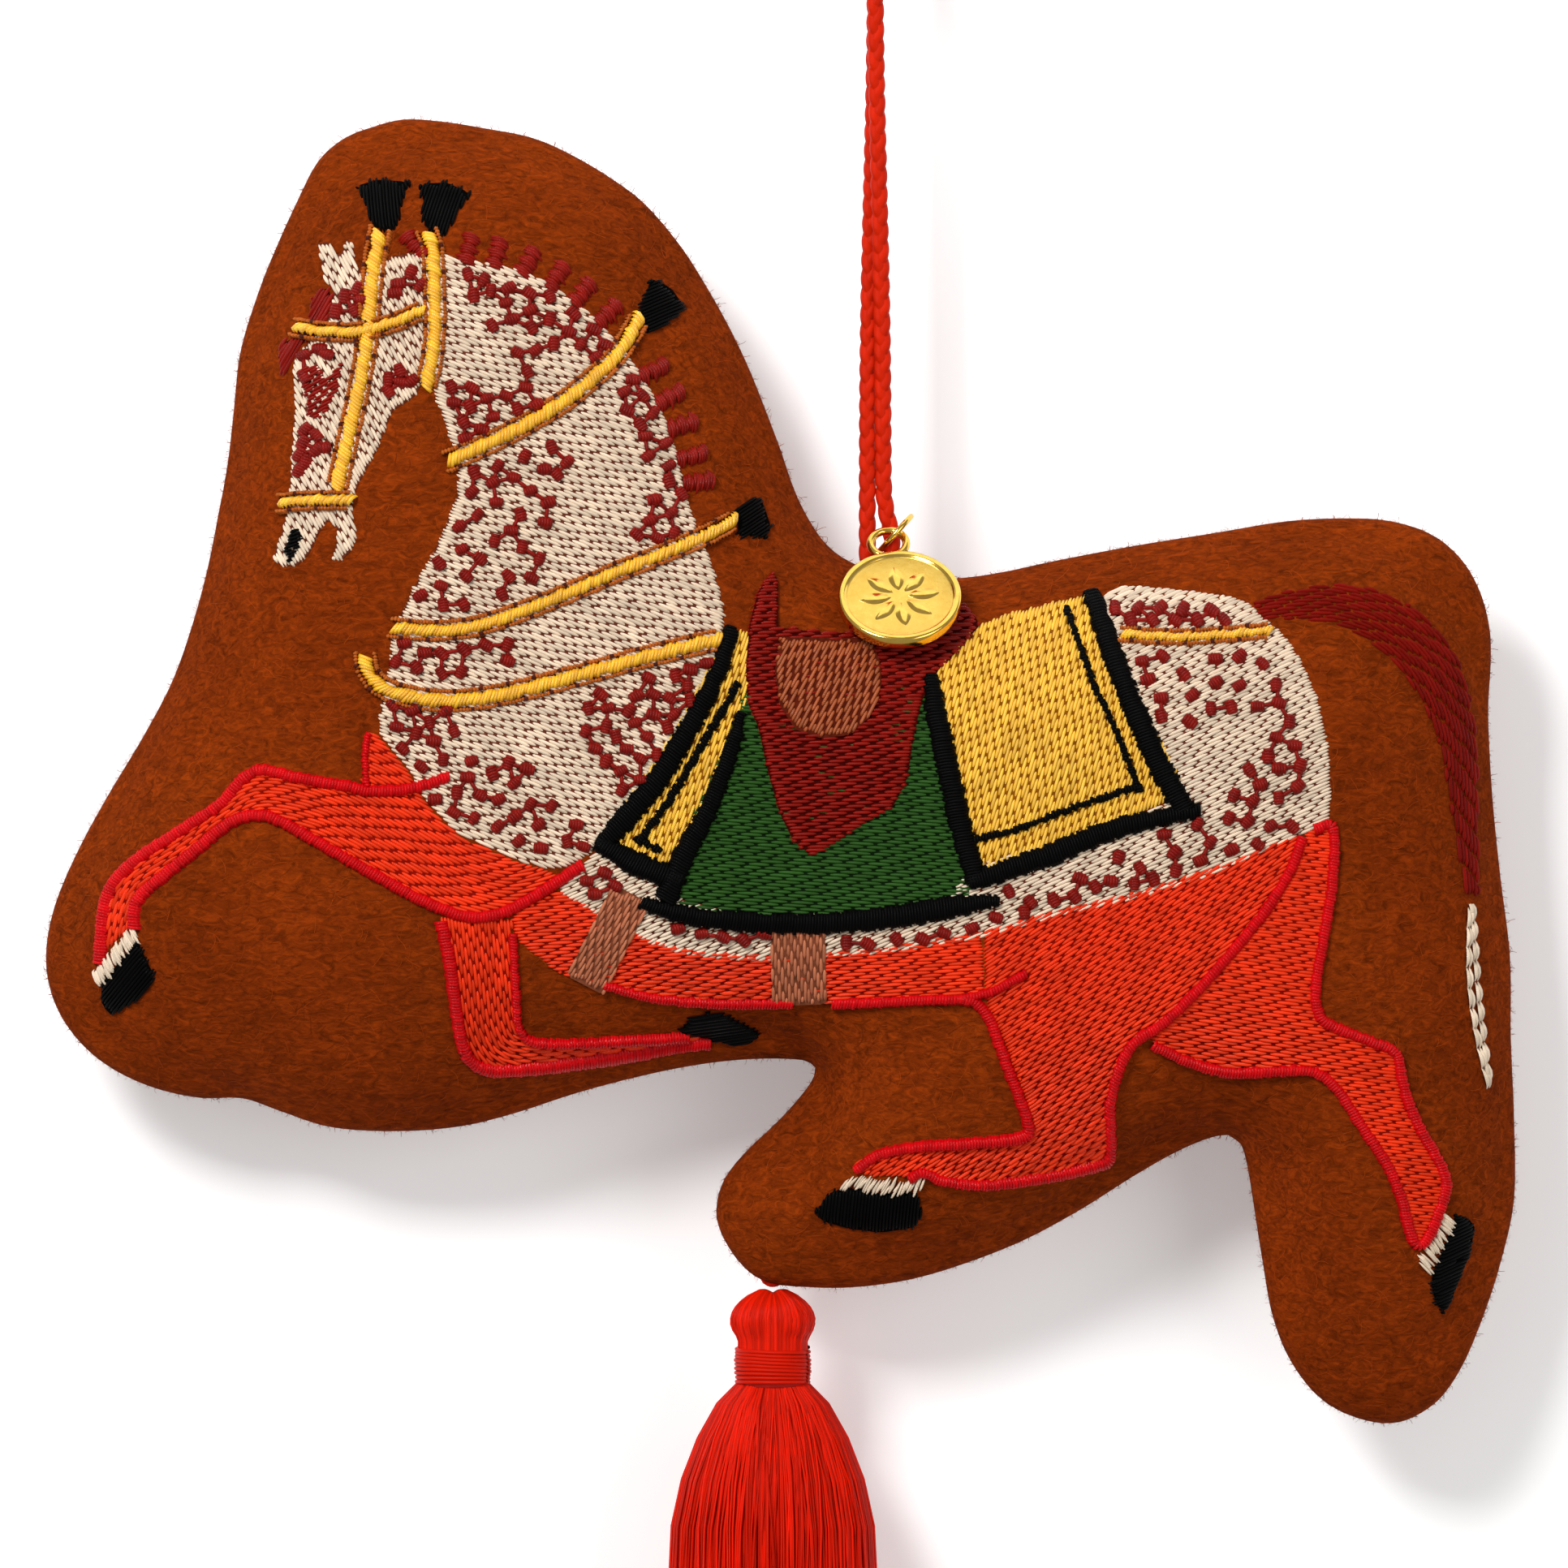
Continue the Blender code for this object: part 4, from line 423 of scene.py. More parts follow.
def left_of(run):
    """The directions to the left of some (x, z) directions."""
    return np.stack([-run[..., 1], run[..., 0]], axis=-1)


def to_edge(points, outline):
    """Each point's distance from a closed outline: positive inside, negative outside."""
    points = np.asarray(points, float)
    outline = np.asarray(outline, float)
    best = np.full(len(points), 1e9)
    inside = np.zeros(len(points), bool)
    for i in range(len(outline)):
        a = outline[i]
        b = outline[(i + 1) % len(outline)]
        along = b - a
        t = np.clip(((points - a) @ along) / max(along @ along, 1e-9), 0, 1)
        best = np.minimum(best, np.linalg.norm(points - a - t[:, None] * along, axis=1))
        crosses = (a[1] > points[:, 1]) != (b[1] > points[:, 1])
        with np.errstate(divide="ignore", invalid="ignore"):
            at = a[0] + (points[:, 1] - a[1]) * along[0] / along[1]
        inside ^= crosses & (points[:, 0] < at)
    return np.where(inside, best, -best)


EDGE = smooth(BODY, 1.5, closed=True)
EDGE_STEPS = np.linalg.norm(np.roll(EDGE, -1, axis=0) - EDGE, axis=1)
CELL = 0.5  # of the grids below
GRID_X = np.arange(-106, 82, CELL)
GRID_Z = np.arange(-109, 60, CELL)


def body_height(points, inside):
    """The stuffed body's height over its seam, by formula, from each point's distance from the edge."""
    soft = np.zeros(len(points))
    for start in range(0, len(points), 20000):
        part = points[start:start + 20000]
        near = np.sqrt(((part[:, None, :] - EDGE[None, :, :]) ** 2).sum(axis=2))
        total = (np.exp(-near / SOFTEN) * EDGE_STEPS).sum(axis=1) / (2 * SOFTEN)
        soft[start:start + 20000] = -SOFTEN * np.log(total)
    reach = np.clip(np.maximum(soft, 0.2 * inside), 0, EDGE_ROLL)
    return HALF_THICK * np.sqrt(1 - (1 - reach / EDGE_ROLL) ** 2)


GRID_SPOTS = np.array([(x, z) for z in GRID_Z for x in GRID_X])
GRID_SHAPE = (len(GRID_Z), len(GRID_X))
INSIDE = to_edge(GRID_SPOTS, EDGE)
HEIGHT = body_height(GRID_SPOTS, INSIDE).reshape(GRID_SHAPE)
INSIDE = INSIDE.reshape(GRID_SHAPE)
SLOPE_Z, SLOPE_X = np.gradient(HEIGHT, CELL)


def read(grid, points):
    """A grid's value at (x, z) points."""
    points = np.asarray(points, float)
    u = np.clip((points[..., 0] - GRID_X[0]) / CELL, 0, len(GRID_X) - 1.001)
    v = np.clip((points[..., 1] - GRID_Z[0]) / CELL, 0, len(GRID_Z) - 1.001)
    i, j = u.astype(int), v.astype(int)
    u, v = u - i, v - j
    low = grid[j, i] * (1 - u) + grid[j, i + 1] * u
    high = grid[j + 1, i] * (1 - u) + grid[j + 1, i + 1] * u
    return low * (1 - v) + high * v


def lumps(points):
    """How far the felt's surface wanders in and out over its stuffing."""
    return np.array([0.30 * noise.noise(Vector((x / 17, z / 17, 2.0)))
                     + 0.12 * noise.noise(Vector((x / 5, z / 5, 7.0))) for x, z in points])


LUMPS = lumps([(x, z) for z in GRID_Z[::2] for x in GRID_X[::2]]).reshape(len(GRID_Z[::2]), len(GRID_X[::2]))
LUMPS = LUMPS.repeat(2, axis=0).repeat(2, axis=1)[:len(GRID_Z), :len(GRID_X)]
for _ in range(2):
    LUMPS = (LUMPS + np.roll(LUMPS, 1, 0) + np.roll(LUMPS, 1, 1) + np.roll(LUMPS, (1, 1), (0, 1))) / 4
LUMPS *= np.clip(INSIDE / 4, 0, 1)


def on_front(points, lift):
    """Drawing points (x, y, z) that stand a lift above the felt's front."""
    points = np.asarray(points, float)
    lift = np.broadcast_to(lift, points.shape[:-1])
    across, up = read(SLOPE_X, points), read(SLOPE_Z, points)
    size = np.sqrt(1 + across**2 + up**2)
    high = read(HEIGHT, points) + read(LUMPS, points) + SEAM_GAP / 2
    return np.stack([points[..., 0] - lift * across / size, -high - lift / size,
                     points[..., 1] - lift * up / size], axis=-1)


# ---------------------------------------------------------------- materials


def new_material(name):
    """A material with its node tree and its shader."""
    material = bpy.data.materials.new(name)
    material.use_nodes = True
    tree = material.node_tree
    return material, tree, tree.nodes["Principled BSDF"]


def noise_node(tree, scale, detail, rough, distortion=0.0, stretch=None):
    """Noise fixed to the object, in cycles over a metre."""
    coords = tree.nodes.new("ShaderNodeTexCoord")
    made = tree.nodes.new("ShaderNodeTexNoise")
    made.inputs["Scale"].default_value = scale
    made.inputs["Detail"].default_value = detail
    made.inputs["Roughness"].default_value = rough
    made.inputs["Distortion"].default_value = distortion
    source = coords.outputs["Object"]
    if stretch:
        place = tree.nodes.new("ShaderNodeMapping")
        place.inputs["Scale"].default_value = stretch
        place.inputs["Rotation"].default_value = (0, math.radians(-14), 0)
        tree.links.new(source, place.inputs["Vector"])
        source = place.outputs["Vector"]
    tree.links.new(source, made.inputs["Vector"])
    return made


def ramp(tree, source, *stops):
    """A colour ramp's output. Each stop is a place and a shade."""
    made = tree.nodes.new("ShaderNodeValToRGB")
    elements = made.color_ramp.elements
    while len(elements) < len(stops):
        elements.new(0.5)
    for element, (at, shade) in zip(elements, stops):
        element.position = at
        element.color = (*shade, 1)
    tree.links.new(source, made.inputs["Fac"])
    return made.outputs["Color"]


def multiplied(tree, a, b):
    """The product of two colour outputs."""
    made = tree.nodes.new("ShaderNodeMix")
    made.data_type = "RGBA"
    made.blend_type = "MULTIPLY"
    made.inputs["Factor"].default_value = 1.0
    tree.links.new(a, made.inputs[6])
    tree.links.new(b, made.inputs[7])
    return made.outputs[2]


def bump(tree, shader, height, strength, distance):
    """Relief finer than the mesh."""
    made = tree.nodes.new("ShaderNodeBump")
    made.inputs["Strength"].default_value = strength
    made.inputs["Distance"].default_value = distance
    tree.links.new(height, made.inputs["Height"])
    tree.links.new(made.outputs["Normal"], shader.inputs["Normal"])


def finish(shader, colour, rough, gloss=0.5):
    """Colour output, roughness and gloss of a plain shader."""
    shader.id_data.links.new(colour, shader.inputs["Base Color"])
    shader.inputs["Roughness"].default_value = rough
    shader.inputs["Specular IOR Level"].default_value = gloss


def linear(r, g, b):
    """Scene colour from the usual 0 to 255 display values."""
    return tuple(((v / 255 + 0.055) / 1.055) ** 2.4 if v > 10 else v / 255 / 12.92 for v in (r, g, b))


def scaled(shade, by):
    return tuple(min(1.0, v * by) for v in shade)


def felt_material(name, shade):
    """Wool felt: matted, curling fibres in lighter and darker tones."""
    material, tree, shader = new_material(name)
    swirl = noise_node(tree, 1050, 7, 0.64, 1.4, (0.45, 1.0, 1.0))
    tones = ramp(tree, swirl.outputs["Fac"],
                 (0.33, scaled(shade, 0.55)), (0.5, shade), (0.68, scaled(shade, 1.6)))
    patch = noise_node(tree, 45, 3, 0.5)
    drift = ramp(tree, patch.outputs["Fac"], (0.3, (0.84, 0.82, 0.8)), (0.7, (1.12, 1.12, 1.12)))
    finish(shader, multiplied(tree, tones, drift), 0.95, 0.03)
    fine = noise_node(tree, 1300, 6, 0.7, 1.2, (0.5, 1.0, 1.0))
    bump(tree, shader, fine.outputs["Fac"], 0.6, 0.0004)
    return material


def thread_material(name, shade, spread, rough, gloss):
    """Glossy embroidery thread with a twist, each stitch a little lighter or darker."""
    material, tree, shader = new_material(name)
    island = tree.nodes.new("ShaderNodeNewGeometry")
    tone = ramp(tree, island.outputs["Random Per Island"],
                (0.0, scaled(shade, 1 - spread)), (0.5, shade), (1.0, scaled(shade, 1 + spread)))
    patch = noise_node(tree, 260, 3, 0.6)
    drift = ramp(tree, patch.outputs["Fac"], (0.3, (0.92, 0.91, 0.90)), (0.7, (1.05, 1.05, 1.05)))
    finish(shader, multiplied(tree, tone, drift), rough, gloss)
    twist = tree.nodes.new("ShaderNodeTexWave")
    twist.bands_direction = "DIAGONAL"
    twist.inputs["Scale"].default_value = 5.0
    place = tree.nodes.new("ShaderNodeUVMap")
    place.uv_map = "along"
    tree.links.new(place.outputs["UV"], twist.inputs["Vector"])
    bump(tree, shader, twist.outputs["Fac"], 0.35, 0.00008)
    return material


def gold_material(name, rough, grain):
    """Gold-plated brass."""
    material, tree, shader = new_material(name)
    patch = noise_node(tree, 900, 4, 0.6)
    tone = ramp(tree, patch.outputs["Fac"], (0.3, linear(236, 190, 84)), (0.7, linear(246, 206, 102)))
    finish(shader, tone, rough)
    shader.inputs["Metallic"].default_value = 1.0
    scratch = noise_node(tree, 3000, 3, 0.6)
    gloss = tree.nodes.new("ShaderNodeMapRange")
    gloss.inputs["To Min"].default_value = rough * 0.7
    gloss.inputs["To Max"].default_value = rough * 1.3
    tree.links.new(scratch.outputs["Fac"], gloss.inputs["Value"])
    tree.links.new(gloss.outputs["Result"], shader.inputs["Roughness"])
    bump(tree, shader, scratch.outputs["Fac"], grain, 0.00005)
    return material


def two_tone(name, scale, detail, rough_noise, low, high, rough, gloss=0.5, distortion=0.0):
    """A matt material that drifts between two shades."""
    material, tree, shader = new_material(name)
    grain = noise_node(tree, scale, detail, rough_noise, distortion)
    finish(shader, ramp(tree, grain.outputs["Fac"], (0.3, low), (0.7, high)), rough, gloss)
    return material


# each thread's colour, its gloss, and the colour of the painted shade laid under an area of it, which shows
# between its stitches
THREAD_LOOKS = {
    "ivory": ((230, 209, 184), 0.35, (92, 44, 30)),
    "red": ((230, 56, 20), 0.12, (128, 14, 6)),
    "crimson": ((200, 6, 14), 0.12, None),
    "maroon": ((134, 18, 8), 0.12, (58, 5, 3)),
    "black": ((8, 7, 7), 0.04, (5, 5, 5)),
    "gold": ((246, 192, 62), 0.5, (128, 74, 12)),
    "green": ((41, 79, 26), 0.12, (12, 28, 8)),
    "tan": ((164, 82, 42), 0.35, (82, 26, 12)),
    "brown": ((184, 110, 77), 0.15, (122, 66, 44)),
}
THREADS = {kind: thread_material("thread_" + kind, linear(*shade), 0.16, 0.3, gloss)
           for kind, (shade, gloss, _) in THREAD_LOOKS.items()}

# ---------------------------------------------------------------- building meshes


def grid_faces(count, rows, cols, closed=False):
    """Four-sided faces of grids of points, one grid after the other. Closed joins each row's two ends."""
    base = (np.arange(count) * rows * cols)[:, None, None]
    i = np.arange(rows - 1)[None, :, None] * cols
    j = np.arange(cols if closed else cols - 1)[None, None, :]
    n = (j + 1) % cols
    faces = np.stack([base + i + j, base + i + cols + j, base + i + cols + n, base + i + n], axis=-1)
    return faces.reshape(-1, 4)


OTHER_WAY = [0, 3, 2, 1]  # turns such a face over


def make_object(name, points, faces, material, uv, body):
    """An object from an array of world points and an array of four-sided or three-sided faces."""
    points = np.asarray(points, np.float32).reshape(-1, 3)
    faces = np.asarray(faces, np.int32)
    mesh = bpy.data.meshes.new(name)
    sides = faces.shape[1]
    mesh.vertices.add(len(points))
    mesh.vertices.foreach_set("co", points.ravel())
    mesh.loops.add(faces.size)
    mesh.loops.foreach_set("vertex_index", faces.ravel())
    mesh.polygons.add(len(faces))
    mesh.polygons.foreach_set("loop_start", np.arange(len(faces), dtype=np.int32) * sides)
    if uv is not None:
        layer = mesh.uv_layers.new(name="along")
        layer.data.foreach_set("uv", np.asarray(uv, np.float32).reshape(-1, 2)[faces.ravel()].ravel())
    mesh.update(calc_edges=True)
    mesh.validate()
    mesh.polygons.foreach_set("use_smooth", np.full(len(mesh.polygons), True))
    mesh.materials.append(material)
    made = bpy.data.objects.new(name, mesh)
    bpy.context.scene.collection.objects.link(made)
    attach(made, body)
    return made


# a thread's cross-section: across its width, and up
ACROSS = np.array([-0.5, -0.22, 0.22, 0.5])
CROWN = np.array([-0.15, 0.92, 0.92, -0.15])
# along a stitch: how high it stands at each of its six points
DIP = np.array([-0.25, 0.6, 1.0, 1.0, 0.6, -0.25])
SATIN = np.array([-0.3, 0.55, 1.0, 1.0, 0.55, -0.3])
FLAT = np.array([-0.15, 0.8, 1.0, 1.0, 0.8, -0.15])
# and how wide it is there
TAPER = np.array([0.3, 0.68, 1.0, 1.0, 0.68, 0.3])
PLUMP = np.array([0.7, 0.9, 1.0, 1.0, 0.9, 0.7])
SHARES = np.linspace(0, 1, 6)  # an even stitch's six points


def rows_straight(outline, angle, pitch):
    """Parallel lines over an outline's box, numbered."""
    d = np.array([math.cos(math.radians(angle)), math.sin(math.radians(angle))])
    e = np.array([-d[1], d[0]])
    outline = np.asarray(outline, float)
    along, across = outline @ d, outline @ e
    marks = np.arange(along.min() - 1, along.max() + 1, 0.2)
    first = int(math.floor(across.min() / pitch))
    last = int(math.ceil(across.max() / pitch))
    return [(k, marks[:, None] * d + (k * pitch) * e) for k in range(first, last + 1)]


def rows_along(path, reach, pitch):
    """Lines that run beside a path, numbered."""
    line = spaced(smooth(path, 1.0), 0.2)
    run = unit(np.gradient(line, axis=0))
    for _ in range(8):
        run = (np.roll(run, 4, 0) + run + np.roll(run, -4, 0)) / 3
        run[:6], run[-6:] = run[6], run[-7]
    side = left_of(unit(run))
    count = int(reach / pitch)
    return [(k, line + side * (k * pitch)) for k in range(-count, count + 1)]


def stitches_in(rows, outline, stitch, grow=0.3, ragged=0.12):
    """Each row's stitches inside an outline, in a brick pattern. Returns (count, 6, 2) points."""
    out = []
    for k, line in rows:
        inside = to_edge(line, outline) > -grow
        marks = np.flatnonzero(np.diff(np.concatenate([[0], inside.astype(int), [0]])))
        along = lengths_along(line)
        for start, end in zip(marks[::2], marks[1::2]):
            low, high = along[start], along[end - 1]
            if high - low < 0.5:
                continue
            first = (k * 0.382 % 1) * stitch
            cuts = [low]
            at = math.floor((low - first) / stitch) * stitch + first
            while at < high - 0.9:
                if at > low + 0.9:
                    cuts.append(at + rng.uniform(-0.32, 0.32))
                at += stitch
            cuts.append(high)
            low_jitter, high_jitter = rng.uniform(-ragged, ragged, 2)
            cuts[0] += low_jitter
            cuts[-1] += high_jitter
            for a, b in zip(cuts, cuts[1:]):
                dip = min(0.8, (b - a) * 0.36)
                out.append(at_lengths(line, [a, a + dip * 0.45, a + dip, b - dip, b - dip * 0.45, b]))
    return np.array(out)


def satin_lines(path, width, pitch, slant, jitter=0.08, shift=0.0):
    """Stitches across a path, each from one side to the other."""
    line = smooth(path, 0.5)
    widths = np.full(len(path), width) if isinstance(width, (int, float)) else np.array(width)
    marks = [int(np.argmin(np.linalg.norm(line - p, axis=1))) for p in path]
    marks[-1] = len(line) - 1
    both = spaced(np.column_stack([line, np.interp(range(len(line)), marks, widths)]), pitch)
    line, wide = both[:, :2], both[:, 2]
    run = unit(np.gradient(line, axis=0))
    side = left_of(run)
    half = wide / 2
    a = line + side * (shift - half + rng.uniform(-jitter, jitter, len(line)))[:, None]
    b = line + side * (shift + half + rng.uniform(-jitter, jitter, len(line)))[:, None] + run * slant
    steps = np.array([0.0, 0.12, 0.3, 0.7, 0.88, 1.0])
    return a[:, None, :] + (b - a)[:, None, :] * steps[None, :, None], wide


def along_each(lines):
    """How far each point is along its own line, for an array of lines."""
    steps = np.cumsum(np.linalg.norm(np.diff(lines, axis=1), axis=2), axis=1)
    return np.concatenate([np.zeros((len(lines), 1)), steps], axis=1)


def thread_mesh(name, kind, lines, lift, width=THREAD_W, height=THREAD_H, puff=None, profile=DIP,
                material=None, taper=TAPER):
    """Raised threads over the felt, one for each line of six points. The ends go down into it."""
    lines = np.asarray(lines, float)
    count, n, _ = lines.shape
    side = left_of(unit(np.gradient(lines, axis=1), 1e-6))
    spots = side[:, :, None, :] * (ACROSS * width)[None, None, :, None] * taper[:, None, None]
    spots = lines[:, :, None, :] + spots
    rise = np.broadcast_to(profile, (count, n))
    top = rise * (lift if puff is None else lift + np.asarray(puff)[:, None])
    lift_all = top[:, :, None] + np.minimum(rise, 1)[:, :, None] * CROWN[None, None, :] * height
    m = len(ACROSS)
    uv = np.empty((count, n, m, 2))
    uv[..., 0] = along_each(lines)[:, :, None] * 0.5
    uv[..., 1] = (ACROSS * width * 0.5)[None, None, :]
    return make_object(name, world(on_front(spots, lift_all)), grid_faces(count, n, m),
                       material or THREADS[kind], uv, "horse")

# ---------------------------------------------------------------- camera, light and backdrop

VIEW_X, VIEW_Z = -11.3 * MM, -114.6 * MM  # middle of the picture
VIEW_W = 193.2 * MM  # its width
VIEW_D = 1.6  # metres from the camera
camera_data = bpy.data.cameras.new("camera")
camera_data.sensor_width = 36
camera_data.lens = 36 * VIEW_D / VIEW_W
camera_data.clip_start = 0.01
camera_data.clip_end = 20
camera = bpy.data.objects.new("camera", camera_data)
camera.location = (VIEW_X, -VIEW_D - 0.008, VIEW_Z)
camera.rotation_euler = (math.radians(90), 0, 0)
bpy.context.scene.collection.objects.link(camera)
bpy.context.scene.camera = camera
bpy.context.scene.view_settings.view_transform = "Standard"


def area_light(name, place, size, power):
    """A rectangle of white light that faces the ornament."""
    data = bpy.data.lights.new(name, "AREA")
    data.shape = "RECTANGLE"
    data.size, data.size_y = size
    data.energy = power
    light = bpy.data.objects.new(name, data)
    light.location = place
    aim = Vector((VIEW_X, 0, VIEW_Z)) - Vector(place)
    light.rotation_euler = aim.to_track_quat("-Z", "Y").to_euler()
    bpy.context.scene.collection.objects.link(light)


area_light("key", (-0.45, -0.85, 0.45), (0.32, 0.32), 10)
area_light("fill", (0.75, -0.9, -0.15), (0.7, 0.9), 3.6)
area_light("top", (0.05, 0.0, 0.8), (0.7, 0.5), 1.2)
area_light("rear", (-0.3, 1.1, 0.3), (0.9, 0.7), 6)
sky = bpy.data.worlds.new("room")
sky.use_nodes = True
sky.node_tree.nodes["Background"].inputs["Color"].default_value = (1.0, 0.99, 0.97, 1)
sky.node_tree.nodes["Background"].inputs["Strength"].default_value = 0.33
bpy.context.scene.world = sky

WALL_Y = 0.0175
wall_mesh = bpy.data.meshes.new("backdrop")
wall_mesh.from_pydata([(x, WALL_Y, z) for x, z in ((-3, -3), (3, -3), (3, 3), (-3, 3))], [], [(0, 1, 2, 3)])
wall = bpy.data.objects.new("backdrop", wall_mesh)
bpy.context.scene.collection.objects.link(wall)
paper, paper_tree, paper_shader = new_material("paper")
paper_shader.inputs["Base Color"].default_value = (0.92, 0.92, 0.92, 1)
paper_shader.inputs["Roughness"].default_value = 0.8
paper_shader.inputs["Emission Color"].default_value = (1, 1, 1, 1)
paper_shader.inputs["Emission Strength"].default_value = 0.27
# the wall is one-sided, so that the ornament's back can be looked at too
paper_nodes = paper_tree.nodes
clear = paper_nodes.new("ShaderNodeBsdfTransparent")
sides = paper_nodes.new("ShaderNodeMixShader")
paper_side = paper_nodes.new("ShaderNodeNewGeometry")
paper_tree.links.new(paper_side.outputs["Backfacing"], sides.inputs["Fac"])
paper_tree.links.new(paper_shader.outputs["BSDF"], sides.inputs[1])
paper_tree.links.new(clear.outputs["BSDF"], sides.inputs[2])
paper_tree.links.new(sides.outputs["Shader"], paper_nodes["Material Output"].inputs["Surface"])
wall_mesh.materials.append(paper)

# ---------------------------------------------------------------- the hanging cord

STRAND_STEP = 0.35
STRAND_SIDES = 8


def strands(path, count, wave, depth, pitch, thick):
    """Plaited strands along a path of drawing points: their world points, faces and UVs."""
    line = spaced(path, STRAND_STEP)
    run = unit(np.gradient(line, axis=0))
    side = np.empty_like(run)
    side[0] = np.cross(run[0], [0, 1, 0])
    for i in range(1, len(run)):
        side[i] = side[i - 1] - run[i] * (side[i - 1] @ run[i])
        side[i] /= np.linalg.norm(side[i])
    up = np.cross(run, side)
    along = np.arange(len(line)) * STRAND_STEP
    around = np.linspace(0, 2 * math.pi, STRAND_SIDES, endpoint=False)
    points, uvs = [], []
    for k in range(count):
        a = 2 * math.pi * (along / pitch + k / count)
        mid = line + side * (wave * np.sin(a))[:, None] + up * (depth * np.sin(2 * a))[:, None]
        rings = (mid[:, None, :] + side[:, None, :] * (thick * np.cos(around))[None, :, None]
                 + up[:, None, :] * (thick * 0.85 * np.sin(around))[None, :, None])
        points.append(rings.reshape(-1, 3))
        uvs.append(np.stack([np.repeat(along * 0.5, STRAND_SIDES),
                             np.tile(around * thick * 0.5, len(line))], axis=1))
    return world(np.vstack(points)), grid_faces(count, len(line), STRAND_SIDES, True), np.vstack(uvs)


def cord_route():
    """From one end in the seam, round the eye and back, with a quarter turn between the legs."""
    low = 0.4 - CORD_IN
    neck = DROP + 0.9 - EYE_R - EYE_NECK
    right, left = [], []
    for z in np.linspace(low, neck, 40):
        t = min(max(z / neck, 0), 1)
        turn = math.pi / 2 * t * t * (3 - 2 * t)
        bow = LEG_BOW * math.exp(-((max(z - 3, 0) / 4) ** 2))
        right.append((CORD_X + LEG_OUT * math.cos(turn) + bow, -LEG_OUT * math.sin(turn), z))
        left.append((CORD_X - LEG_OUT * math.cos(turn), LEG_OUT * math.sin(turn), z))
    eye_z = neck + EYE_NECK
    eye = []
    for angle in np.linspace(-25, 205, 15):
        a = math.radians(angle)
        eye.append((CORD_X, -EYE_R * math.cos(a), eye_z + EYE_R * math.sin(a)))
    return smooth(right + eye + left[::-1], 0.8)


cord_line = cord_route()
cord_points, cord_faces, cord_uv = strands(
    cord_line, count=3, wave=0.36, depth=0.18, pitch=6.8, thick=0.72)
floss = thread_material("floss", linear(202, 34, 4), 0.10, 0.4, 0.06)
cord = make_object("plaited_cord", cord_points, cord_faces, floss, cord_uv, "horse")
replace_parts(cord, "hanging_cord")

# ---------------------------------------------------------------- felt


def triangles(outline, inner):
    """Triangles over a closed outline. Returns its points, their triangles, and the outline's new order."""
    rim = len(outline)
    points = [Vector(p) for p in list(outline) + list(inner)]
    made, _, faces, origin, _, _ = delaunay_2d_cdt(
        points, [(i, (i + 1) % rim) for i in range(rim)], [list(range(rim))], 1, 1e-6)
    order = {}
    for new, olds in enumerate(origin):
        for old in olds:
            order[old] = new
    return np.array([tuple(p) for p in made]), np.array(faces), [order[i] for i in range(rim)]


rim = spaced(np.vstack([EDGE, EDGE[:1]]), 1.0)[:-1]
run = np.roll(rim, -1, axis=0) - np.roll(rim, 1, axis=0)
inward = unit(np.stack([run[:, 1], -run[:, 0]], axis=1))
if (to_edge(rim + inward, EDGE) < 0).sum() > len(rim) / 2:
    inward = -inward
inner_rings = []
for offset in (0.06, 0.22, 0.5, 0.95, 1.6, 2.4, 3.3):
    ring = rim + inward * offset
    inner_rings.append(ring[to_edge(ring, EDGE) > offset * 0.85])
grid = np.array([(x + 0.65 * (j % 2), z) for j, z in enumerate(np.arange(-108, 58, 1.15))
                 for x in np.arange(-105, 80, 1.3)])
grid = grid[read(INSIDE, grid) > 4.1]
flat, flat_faces, flat_rim = triangles(rim, np.vstack(inner_rings + [grid]))
flat_height = body_height(flat, read(INSIDE, flat))
flat_height[flat_rim] = 0
flat_height += read(LUMPS, flat) * np.clip(flat_height / 3, 0, 1)
# the way into the felt, which turns flat at the rim
into = unit(np.stack([-read(SLOPE_X, flat), -np.ones(len(flat)), -read(SLOPE_Z, flat)], axis=1))
level = np.clip(to_edge(flat, EDGE) / 3, 0, 1)[:, None]
edge_way = unit(into * [1, 0, 1], 1e-6)
into = unit(into * level + edge_way * (1 - level))
for i, at in enumerate(flat_rim):
    into[at] = (-inward[i][0], 0, -inward[i][1])
FELT_SHADE = linear(123, 46, 6)
wool = felt_material("wool_felt", FELT_SHADE)


def felt_piece(name, side, node):
    """One felt panel as a thick sheet. The side is 1 for the front and -1 for the back."""
    outer = np.stack([flat[:, 0], -flat_height - SEAM_GAP / 2, flat[:, 1]], axis=1)
    inner = outer - FELT * into
    inner[:, 1] = np.minimum(inner[:, 1], -SEAM_GAP / 2)
    outer[:, 1] *= side
    inner[:, 1] *= side
    count = len(flat)
    ring = np.array(flat_rim)
    after = np.roll(ring, -1)
    faces = [flat_faces, flat_faces[:, ::-1] + count, np.stack([after, ring, count + ring], axis=1),
             np.stack([after, count + ring, count + after], axis=1)]
    made = make_object(name, world(np.vstack([outer, inner])), np.vstack(faces), wool, None, "horse")
    shape = bmesh.new()
    shape.from_mesh(made.data)
    bmesh.ops.recalc_face_normals(shape, faces=shape.faces)
    if shape.calc_volume(signed=True) < 0:
        bmesh.ops.reverse_faces(shape, faces=shape.faces)
    shape.to_mesh(made.data)
    shape.free()
    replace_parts(made, node)


felt_piece("felt_front", 1, "felt_front_panel")
felt_piece("felt_back", -1, "felt_back_panel")


